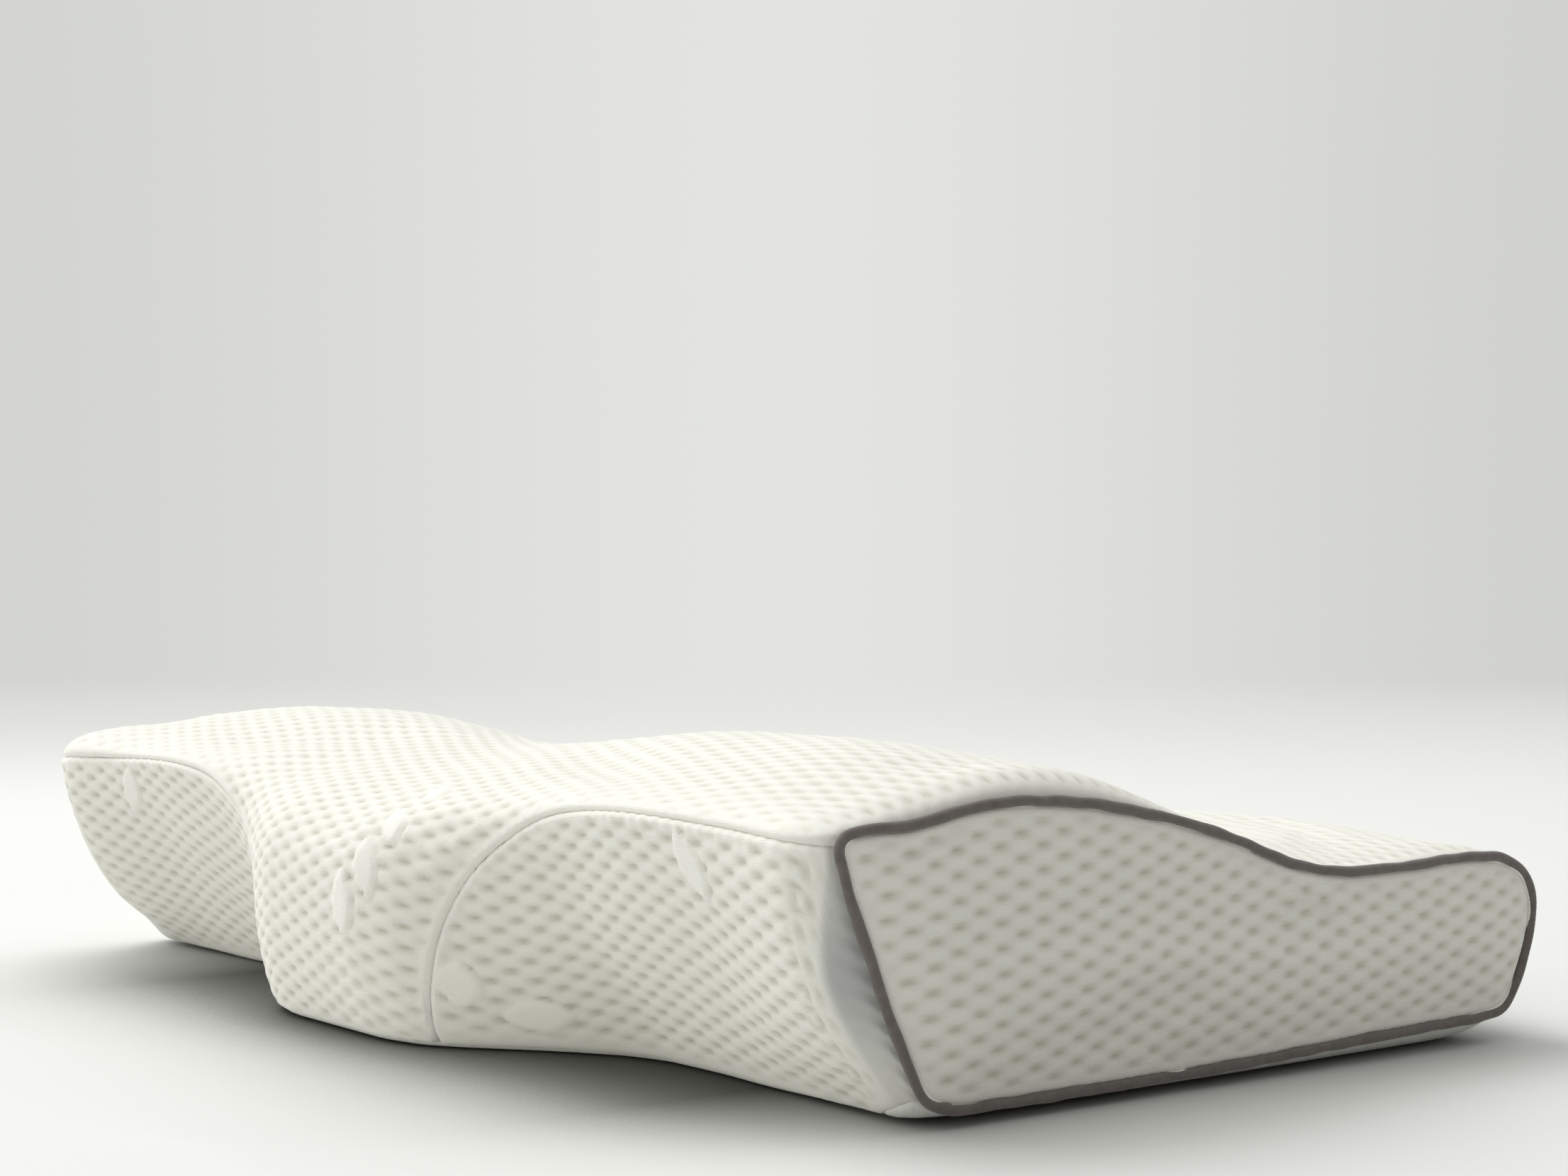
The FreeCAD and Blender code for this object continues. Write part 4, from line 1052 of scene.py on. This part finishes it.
cu_, cl_ = coil("zip_coil_teeth_upper", 1), coil("zip_coil_teeth_lower", -1)


# ---------------------------------------------------------------------------
# materials
# ---------------------------------------------------------------------------
def new_mat(name):
    m = bpy.data.materials.new(name)
    m.use_nodes = True
    nt = m.node_tree
    nt.nodes.clear()
    out = nt.nodes.new("ShaderNodeOutputMaterial")
    bsdf = nt.nodes.new("ShaderNodeBsdfPrincipled")
    nt.links.new(bsdf.outputs["BSDF"], out.inputs["Surface"])
    return m, nt, bsdf


def node(nt, kind, **kw):
    n = nt.nodes.new(kind)
    for k, v in kw.items():
        setattr(n, k, v)
    return n


def math_node(nt, op, a, b=None, c=None):
    n = nt.nodes.new("ShaderNodeMath")
    n.operation = op
    for i, q in enumerate((a, b, c)):
        if q is None:
            continue
        if isinstance(q, (int, float)):
            n.inputs[i].default_value = q
        else:
            nt.links.new(q, n.inputs[i])
    return n.outputs[0]


def ramp(nt, fac, stops, ease=False):
    n = nt.nodes.new("ShaderNodeValToRGB")
    if ease:
        n.color_ramp.interpolation = "EASE"
    el = n.color_ramp.elements
    while len(el) > len(stops):
        el.remove(el[-1])
    while len(el) < len(stops):
        el.new(0.5)
    for e, (p, c) in zip(el, stops):
        e.position = p
        e.color = tuple(c) + (1,)
    nt.links.new(fac, n.inputs[0])
    return n.outputs["Color"]


def knit(name, base, pit_shade_col, sheen=0.3, loops=True, strength=0.35, dots=False):
    m, nt, b = new_mat(name)
    uv = node(nt, "ShaderNodeUVMap", uv_map="fab")
    sep = node(nt, "ShaderNodeSeparateXYZ")
    nt.links.new(uv.outputs[0], sep.inputs[0])
    U, W = sep.outputs[0], sep.outputs[1]
    pit = node(nt, "ShaderNodeAttribute", attribute_name="pit")
    mot = node(nt, "ShaderNodeAttribute", attribute_name="motif")
    geo = node(nt, "ShaderNodeTexCoord")
    big = node(nt, "ShaderNodeTexNoise")
    big.inputs["Scale"].default_value = 9.0
    big.inputs["Detail"].default_value = 3.0
    nt.links.new(geo.outputs["Object"], big.inputs["Vector"])
    small = node(nt, "ShaderNodeTexNoise")
    small.inputs["Scale"].default_value = 900.0
    small.inputs["Detail"].default_value = 2.0
    nt.links.new(geo.outputs["Object"], small.inputs["Vector"])
    # courses and wales of the knit, 0.85 mm by 0.7 mm, with the loops leaning both ways
    ph = math_node(nt, "MULTIPLY", U, 2 * math.pi / 0.085)
    pv = math_node(nt, "MULTIPLY", W, 2 * math.pi / 0.070)
    sw = math_node(nt, "SINE", ph)
    lean_ = math_node(nt, "MULTIPLY", math_node(nt, "ABSOLUTE", sw), 1.9)
    sv = math_node(nt, "SINE", math_node(nt, "ADD", pv, lean_))
    loop = math_node(nt, "MULTIPLY_ADD", sv, 0.5, 0.5)
    wale = math_node(nt, "POWER", math_node(nt, "ABSOLUTE", sw), 0.6)
    hgt = math_node(nt, "MULTIPLY", loop, wale)
    hgt = math_node(nt, "MULTIPLY_ADD", small.outputs["Fac"], 0.55, hgt)
    # colour: painted shade in the dimple pits, a warm grey, the smooth ovals a little brighter, faint mottling
    tone = math_node(nt, "MULTIPLY_ADD", big.outputs["Fac"], 0.5, 0.25)
    col = ramp(nt, tone, [(0.30, tuple(c * 0.965 for c in base)), (0.70, base)])
    mix = node(nt, "ShaderNodeMix", data_type="RGBA")
    nt.links.new(col, mix.inputs[6])
    mix.inputs[7].default_value = tuple(pit_shade_col) + (1,)
    nt.links.new(math_node(nt, "MULTIPLY", pit.outputs["Fac"], 0.9), mix.inputs[0])
    mix2 = node(nt, "ShaderNodeMix", data_type="RGBA")
    nt.links.new(mix.outputs[2], mix2.inputs[6])
    mix2.inputs[7].default_value = tuple(min(1, c * 1.03) for c in base) + (1,)
    nt.links.new(math_node(nt, "MULTIPLY", mot.outputs["Fac"], 0.7), mix2.inputs[0])
    # painted shade on the plain strip beside the piping: a cool grey, strongest at mid height
    strip_shade_node = node(nt, "ShaderNodeAttribute", attribute_name="strip_shade")
    mixb = node(nt, "ShaderNodeMix", data_type="RGBA")
    nt.links.new(mix2.outputs[2], mixb.inputs[6])
    mixb.inputs[7].default_value = (0.40, 0.405, 0.41, 1)
    nt.links.new(math_node(nt, "MULTIPLY", strip_shade_node.outputs["Fac"], 0.85), mixb.inputs[0])
    # painted shade between the knit loops: the colour is darker where the loop height is low
    mix3 = node(nt, "ShaderNodeMix", data_type="RGBA", blend_type="MULTIPLY")
    nt.links.new(mixb.outputs[2], mix3.inputs[6])
    nt.links.new(ramp(nt, hgt, [(0.0, (0.90, 0.90, 0.895)), (0.9, (1.0, 1.0, 1.0))]), mix3.inputs[7])
    mix3.inputs[0].default_value = 0.6
    last = mix3.outputs[2]
    if dots:
        # little silicone grip dots on the base
        vor = node(nt, "ShaderNodeTexVoronoi")
        vor.inputs["Scale"].default_value = 1.6
        vor.inputs["Randomness"].default_value = 0.0
        nt.links.new(uv.outputs[0], vor.inputs["Vector"])
        dotm = ramp(nt, vor.outputs["Distance"], [(0.16, (1, 1, 1)), (0.2, (0, 0, 0))])
        mix4 = node(nt, "ShaderNodeMix", data_type="RGBA")
        nt.links.new(dotm, mix4.inputs[0])
        nt.links.new(last, mix4.inputs[6])
        mix4.inputs[7].default_value = (0.70, 0.71, 0.70, 1)
        last = mix4.outputs[2]
        hgt = math_node(nt, "ADD", hgt, math_node(nt, "MULTIPLY", dotm, 2.5))
    nt.links.new(last, b.inputs["Base Color"])
    bump = node(nt, "ShaderNodeBump")
    bump.inputs["Strength"].default_value = strength
    bump.inputs["Distance"].default_value = 0.00025
    nt.links.new(hgt, bump.inputs["Height"])
    nt.links.new(bump.outputs[0], b.inputs["Normal"])
    b.inputs["Roughness"].default_value = 0.82
    b.inputs["Specular IOR Level"].default_value = 0.25
    b.inputs["Sheen Weight"].default_value = sheen
    b.inputs["Sheen Roughness"].default_value = 0.5
    return m


WHITE = (0.835, 0.832, 0.785)
# painted shade for the dimple pits, a warm grey mixed in by dimple depth
PIT_SHADE = (0.53, 0.51, 0.42)
m_cover = knit("cover_bubble_knit", WHITE, PIT_SHADE)
m_base = knit("base_grip_knit", (0.80, 0.80, 0.77), (0.7, 0.7, 0.66), dots=True)


def piping_mat():
    m, nt, b = new_mat("piping_twill")
    uv = node(nt, "ShaderNodeUVMap", uv_map="fab")
    sep = node(nt, "ShaderNodeSeparateXYZ")
    nt.links.new(uv.outputs[0], sep.inputs[0])
    U, W = sep.outputs[0], sep.outputs[1]
    # bias binding: the weave runs at 45 degrees
    a = math_node(nt, "SINE", math_node(nt, "MULTIPLY", math_node(nt, "ADD", U, W), 2 * math.pi / 0.075))
    c = math_node(nt, "SINE", math_node(nt, "MULTIPLY", math_node(nt, "SUBTRACT", U, W), 2 * math.pi / 0.075))
    weave = math_node(nt, "MULTIPLY_ADD", math_node(nt, "MULTIPLY", a, c), 0.5, 0.5)
    geo = node(nt, "ShaderNodeTexCoord")
    nz = node(nt, "ShaderNodeTexNoise")
    nz.inputs["Scale"].default_value = 260.0
    nt.links.new(geo.outputs["Object"], nz.inputs["Vector"])
    f = math_node(nt, "MULTIPLY_ADD", nz.outputs["Fac"], 0.5, math_node(nt, "MULTIPLY", weave, 0.5))
    col = ramp(nt, f, [(0.15, (0.085, 0.073, 0.068)), (0.85, (0.20, 0.178, 0.168))])
    nt.links.new(col, b.inputs["Base Color"])
    bump = node(nt, "ShaderNodeBump")
    bump.inputs["Strength"].default_value = 0.5
    bump.inputs["Distance"].default_value = 0.0002
    nt.links.new(f, bump.inputs["Height"])
    nt.links.new(bump.outputs[0], b.inputs["Normal"])
    b.inputs["Roughness"].default_value = 0.8
    b.inputs["Sheen Weight"].default_value = 0.25
    b.inputs["Specular IOR Level"].default_value = 0.2
    return m


def simple_noise(name, lo, hi, scale, rough, bump_s=0.3, dist=0.0002, metal=0.0, stretch=None, sheen=0.0):
    m, nt, b = new_mat(name)
    geo = node(nt, "ShaderNodeTexCoord")
    src = geo.outputs["Object"]
    if stretch:
        mp = node(nt, "ShaderNodeMapping")
        mp.inputs["Scale"].default_value = stretch
        nt.links.new(src, mp.inputs["Vector"])
        src = mp.outputs[0]
    nz = node(nt, "ShaderNodeTexNoise")
    nz.inputs["Scale"].default_value = scale
    nz.inputs["Detail"].default_value = 4.0
    nt.links.new(src, nz.inputs["Vector"])
    nt.links.new(ramp(nt, nz.outputs["Fac"], [(0.3, lo), (0.7, hi)]), b.inputs["Base Color"])
    bump = node(nt, "ShaderNodeBump")
    bump.inputs["Strength"].default_value = bump_s
    bump.inputs["Distance"].default_value = dist
    nt.links.new(nz.outputs["Fac"], bump.inputs["Height"])
    nt.links.new(bump.outputs[0], b.inputs["Normal"])
    b.inputs["Roughness"].default_value = rough
    b.inputs["Metallic"].default_value = metal
    b.inputs["Sheen Weight"].default_value = sheen
    return m


def tape_mat():
    m, nt, b = new_mat("zip_tape_weave")
    geo = node(nt, "ShaderNodeTexCoord")
    sep = node(nt, "ShaderNodeSeparateXYZ")
    nt.links.new(geo.outputs["Object"], sep.inputs[0])
    a = math_node(nt, "SINE", math_node(nt, "MULTIPLY", sep.outputs[0], 2 * math.pi / 0.0007))
    c = math_node(nt, "SINE", math_node(nt, "MULTIPLY", sep.outputs[2], 2 * math.pi / 0.0009))
    w = math_node(nt, "MULTIPLY_ADD", math_node(nt, "MULTIPLY", a, c), 0.5, 0.5)
    nt.links.new(ramp(nt, w, [(0.0, (0.70, 0.70, 0.67)), (1.0, (0.84, 0.84, 0.81))]), b.inputs["Base Color"])
    bump = node(nt, "ShaderNodeBump")
    bump.inputs["Strength"].default_value = 0.5
    bump.inputs["Distance"].default_value = 0.00015
    nt.links.new(w, bump.inputs["Height"])
    nt.links.new(bump.outputs[0], b.inputs["Normal"])
    b.inputs["Roughness"].default_value = 0.75
    b.inputs["Sheen Weight"].default_value = 0.15
    return m


m_pipe = piping_mat()
m_foam = simple_noise("memory_foam", (0.78, 0.73, 0.55), (0.88, 0.84, 0.68), 700, 0.9, 0.6, 0.0004)
m_liner = simple_noise("liner_jersey", (0.82, 0.82, 0.82), (0.90, 0.90, 0.90), 1200, 0.85, 0.3, 0.0001, sheen=0.1)
m_tape = tape_mat()
m_coil = simple_noise("nylon_coil", (0.80, 0.80, 0.77), (0.86, 0.86, 0.83), 400, 0.35, 0.05)
m_metal = simple_noise("nickel_plate", (0.55, 0.55, 0.55), (0.66, 0.66, 0.65), 300, 0.28, 0.08, 0.00005, 1.0, (1, 8, 8))
m_stop = simple_noise("stop_metal", (0.60, 0.60, 0.60), (0.70, 0.70, 0.70), 300, 0.35, 0.08, 0.00005, 1.0)
m_cord = simple_noise("filler_cord", (0.72, 0.72, 0.68), (0.82, 0.82, 0.78), 900, 0.9, 0.4)


def put(ob, mat):
    ob.data.materials.clear()
    ob.data.materials.append(mat)


for ob, nodes_, mat, slot in (
        (top, ["top_panel"], m_cover, "cover_knit"),
        (wr, ["front_wing_panel_right"], m_cover, "cover_knit"),
        (wl, ["front_wing_panel_left"], m_cover, "cover_knit"),
        (er, ["end_panel_right"], m_cover, "cover_knit"),
        (el, ["end_panel_left"], m_cover, "cover_knit"),
        (strip, ["back_strip"], m_cover, "cover_knit"),
        (bottom, ["bottom_panel"], m_base, "base_knit"),
        (pr, ["piping_wrap_right"], m_pipe, "piping"),
        (pl, ["piping_wrap_left"], m_pipe, "piping"),
        (foam, ["foam_core"], m_foam, "foam"),
        (liner, ["liner_upper", "liner_lower"], m_liner, "liner_knit"),
        (cu_, ["zipper_coil_upper"], m_coil, "zip_coil"),
        (cl_, ["zipper_coil_lower"], m_coil, "zip_coil")):
    put(ob, mat)
    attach(ob, "cover")
    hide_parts(*nodes_)

for n, mat in (("piping_filler_right", m_cord), ("piping_filler_left", m_cord), ("zipper_tape_upper", m_tape),
               ("zipper_tape_lower", m_tape), ("zipper_slider", m_metal), ("zipper_pull_tab", m_metal),
               ("zipper_top_stops", m_stop), ("zipper_bottom_stop", m_stop)):
    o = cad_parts[n]
    for sl in o.material_slots:
        sl.material = mat
    if not o.material_slots:
        o.data.materials.append(mat)

# ---------------------------------------------------------------------------
# stage, light, camera
# ---------------------------------------------------------------------------
sc = bpy.context.scene
sc.view_settings.view_transform = "Standard"
sc.view_settings.look = "None"
sc.view_settings.exposure = 0.0
sc.view_settings.gamma = 1.0

me = bpy.data.meshes.new("floor")
n = 64
fvs = [(0, 0, 0)] + [(9 * math.cos(2 * math.pi * i / n), 9 * math.sin(2 * math.pi * i / n), 0) for i in range(n)]
me.from_pydata(fvs, [], [(0, 1 + i, 1 + (i + 1) % n) for i in range(n)])
floor = bpy.data.objects.new("floor", me)
sc.collection.objects.link(floor)
m_floor, nt, b = new_mat("floor")
geo = node(nt, "ShaderNodeTexCoord")
nz = node(nt, "ShaderNodeTexNoise")
nz.inputs["Scale"].default_value = 2.0
nt.links.new(geo.outputs["Object"], nz.inputs["Vector"])
ln = node(nt, "ShaderNodeVectorMath", operation="LENGTH")
nt.links.new(geo.outputs["Object"], ln.inputs[0])
far = node(nt, "ShaderNodeMix", data_type="RGBA")
nt.links.new(ramp(nt, math_node(nt, "MULTIPLY", ln.outputs["Value"], 0.1), [(0.07, (0, 0, 0)), (0.45, (1, 1, 1))]), far.inputs[0])
nt.links.new(ramp(nt, nz.outputs["Fac"], [(0.0, (0.685, 0.69, 0.677)), (1.0, (0.693, 0.698, 0.685))]), far.inputs[6])
far.inputs[7].default_value = (0.675, 0.68, 0.665, 1)
# deeper contact shade along the front, little of it past the two ends
occ = node(nt, "ShaderNodeAmbientOcclusion", samples=8)
occ.inputs["Distance"].default_value = 0.17
shade = ramp(nt, occ.outputs["AO"], [(0.30, (0.06, 0.06, 0.055)), (0.58, (0.27, 0.27, 0.26)), (0.78, (0.75, 0.75, 0.74)), (0.92, (1, 1, 1))])
sepx = node(nt, "ShaderNodeSeparateXYZ")
nt.links.new(geo.outputs["Object"], sepx.inputs[0])
reach = ramp(nt, math_node(nt, "MULTIPLY_ADD", sepx.outputs[0], 1.0, 0.5),
             [(0.20, (0, 0, 0)), (0.34, (1, 1, 1)), (0.70, (1, 1, 1)), (0.82, (0.1, 0.1, 0.1))])
mul = node(nt, "ShaderNodeMix", data_type="RGBA", blend_type="MULTIPLY")
seen_only = node(nt, "ShaderNodeLightPath")
nt.links.new(math_node(nt, "MULTIPLY", reach, seen_only.outputs["Is Camera Ray"]), mul.inputs[0])
nt.links.new(far.outputs[2], mul.inputs[6])
nt.links.new(shade, mul.inputs[7])
nt.links.new(mul.outputs[2], b.inputs["Base Color"])
b.inputs["Roughness"].default_value = 0.6
b.inputs["Specular IOR Level"].default_value = 0.1
# far off the floor gives way to the backdrop, so no line shows between them
clear = node(nt, "ShaderNodeBsdfTransparent")
blend = node(nt, "ShaderNodeMixShader")
nt.links.new(ramp(nt, math_node(nt, "MULTIPLY", ln.outputs["Value"], 0.1), [(0.09, (0, 0, 0)), (0.6, (1, 1, 1))], True), blend.inputs[0])
nt.links.new(b.outputs[0], blend.inputs[1])
nt.links.new(clear.outputs[0], blend.inputs[2])
surf = [x for x in nt.nodes if x.type == "OUTPUT_MATERIAL"][0]
nt.links.new(blend.outputs[0], surf.inputs[0])
me.materials.append(m_floor)

AZ, PITCH = math.radians(52.85), math.radians(-0.59)
fwd = Vector((-math.sin(AZ) * math.cos(PITCH), math.cos(AZ) * math.cos(PITCH), -math.sin(PITCH)))
cam = bpy.data.cameras.new("camera")
cam.sensor_fit = "HORIZONTAL"
cam.sensor_width = 36.0
cam.lens = 36.0 * 3600 / 2212
cam.clip_start = 0.05
co = bpy.data.objects.new("camera", cam)
sc.collection.objects.link(co)
co.location = (0.8868, -0.6378 + YS / 100, 0.1589)
co.rotation_mode = "QUATERNION"
co.rotation_quaternion = (-fwd).to_track_quat("Z", "Y")
sc.camera = co

world = bpy.data.worlds.new("world")
sc.world = world
world.use_nodes = True
nt = world.node_tree
nt.nodes.clear()
wo = nt.nodes.new("ShaderNodeOutputWorld")
bg = nt.nodes.new("ShaderNodeBackground")
nt.links.new(bg.outputs[0], wo.inputs[0])
tc = nt.nodes.new("ShaderNodeTexCoord")
dotp = nt.nodes.new("ShaderNodeVectorMath")
dotp.operation = "DOT_PRODUCT"
nt.links.new(tc.outputs["Generated"], dotp.inputs[0])
dotp.inputs[1].default_value = (-0.604, -0.797, 0.0)
side = ramp(nt, math_node(nt, "MULTIPLY_ADD", dotp.outputs["Value"], 0.5, 0.5),
            [(0.0, (0.20, 0.205, 0.20)), (0.34, (0.63, 0.64, 0.615)), (0.5, (0.765, 0.775, 0.745)), (0.66, (0.65, 0.66, 0.635)),
             (0.76, (1.0, 1.005, 0.98)), (1.0, (2.05, 2.07, 2.07))], True)
dotf = nt.nodes.new("ShaderNodeVectorMath")
dotf.operation = "DOT_PRODUCT"
nt.links.new(tc.outputs["Generated"], dotf.inputs[0])
dotf.inputs[1].default_value = (-0.797, 0.604, 0.0)
front = ramp(nt, math_node(nt, "MULTIPLY_ADD", dotf.outputs["Value"], 0.5, 0.5),
             [(0.0, (0.29, 0.28, 0.25)), (0.45, (0.63, 0.615, 0.565)), (0.8, (1.0, 1.0, 1.0))], True)
both = node(nt, "ShaderNodeMix", data_type="RGBA", blend_type="MULTIPLY")
both.inputs[0].default_value = 1.0
nt.links.new(side, both.inputs[6])
nt.links.new(front, both.inputs[7])
side = both.outputs[2]
sepz = nt.nodes.new("ShaderNodeSeparateXYZ")
nt.links.new(tc.outputs["Generated"], sepz.inputs[0])
up = node(nt, "ShaderNodeMix", data_type="RGBA")
nt.links.new(ramp(nt, sepz.outputs[2], [(0.30, (0, 0, 0)), (0.75, (1, 1, 1))], True), up.inputs[0])
nt.links.new(side, up.inputs[6])
up.inputs[7].default_value = (0.90, 0.90, 0.88, 1)
nt.links.new(up.outputs[2], bg.inputs[0])
bg.inputs[1].default_value = 1.0


def aim(ob, at):
    d = Vector(at) - ob.location
    ob.rotation_mode = "QUATERNION"
    ob.rotation_quaternion = (-d).to_track_quat("Z", "Y")


sun = bpy.data.lights.new("sun", "SUN")
sun.energy = 1.4
sun.angle = math.radians(45)
sun.color = (1.0, 1.0, 0.985)
so = bpy.data.objects.new("sun", sun)
sc.collection.objects.link(so)
so.location = (-1.5, -0.75, 2.2)
aim(so, (0, 0, 0))
ar = bpy.data.lights.new("softbox", "AREA")
ar.shape = "RECTANGLE"
ar.size, ar.size_y = 1.4, 1.4
ar.energy = 9.0
ao = bpy.data.objects.new("softbox", ar)
sc.collection.objects.link(ao)
ao.location = (-1.1, -0.1, 1.5)
aim(ao, (0.0, 0.0, 0.05))
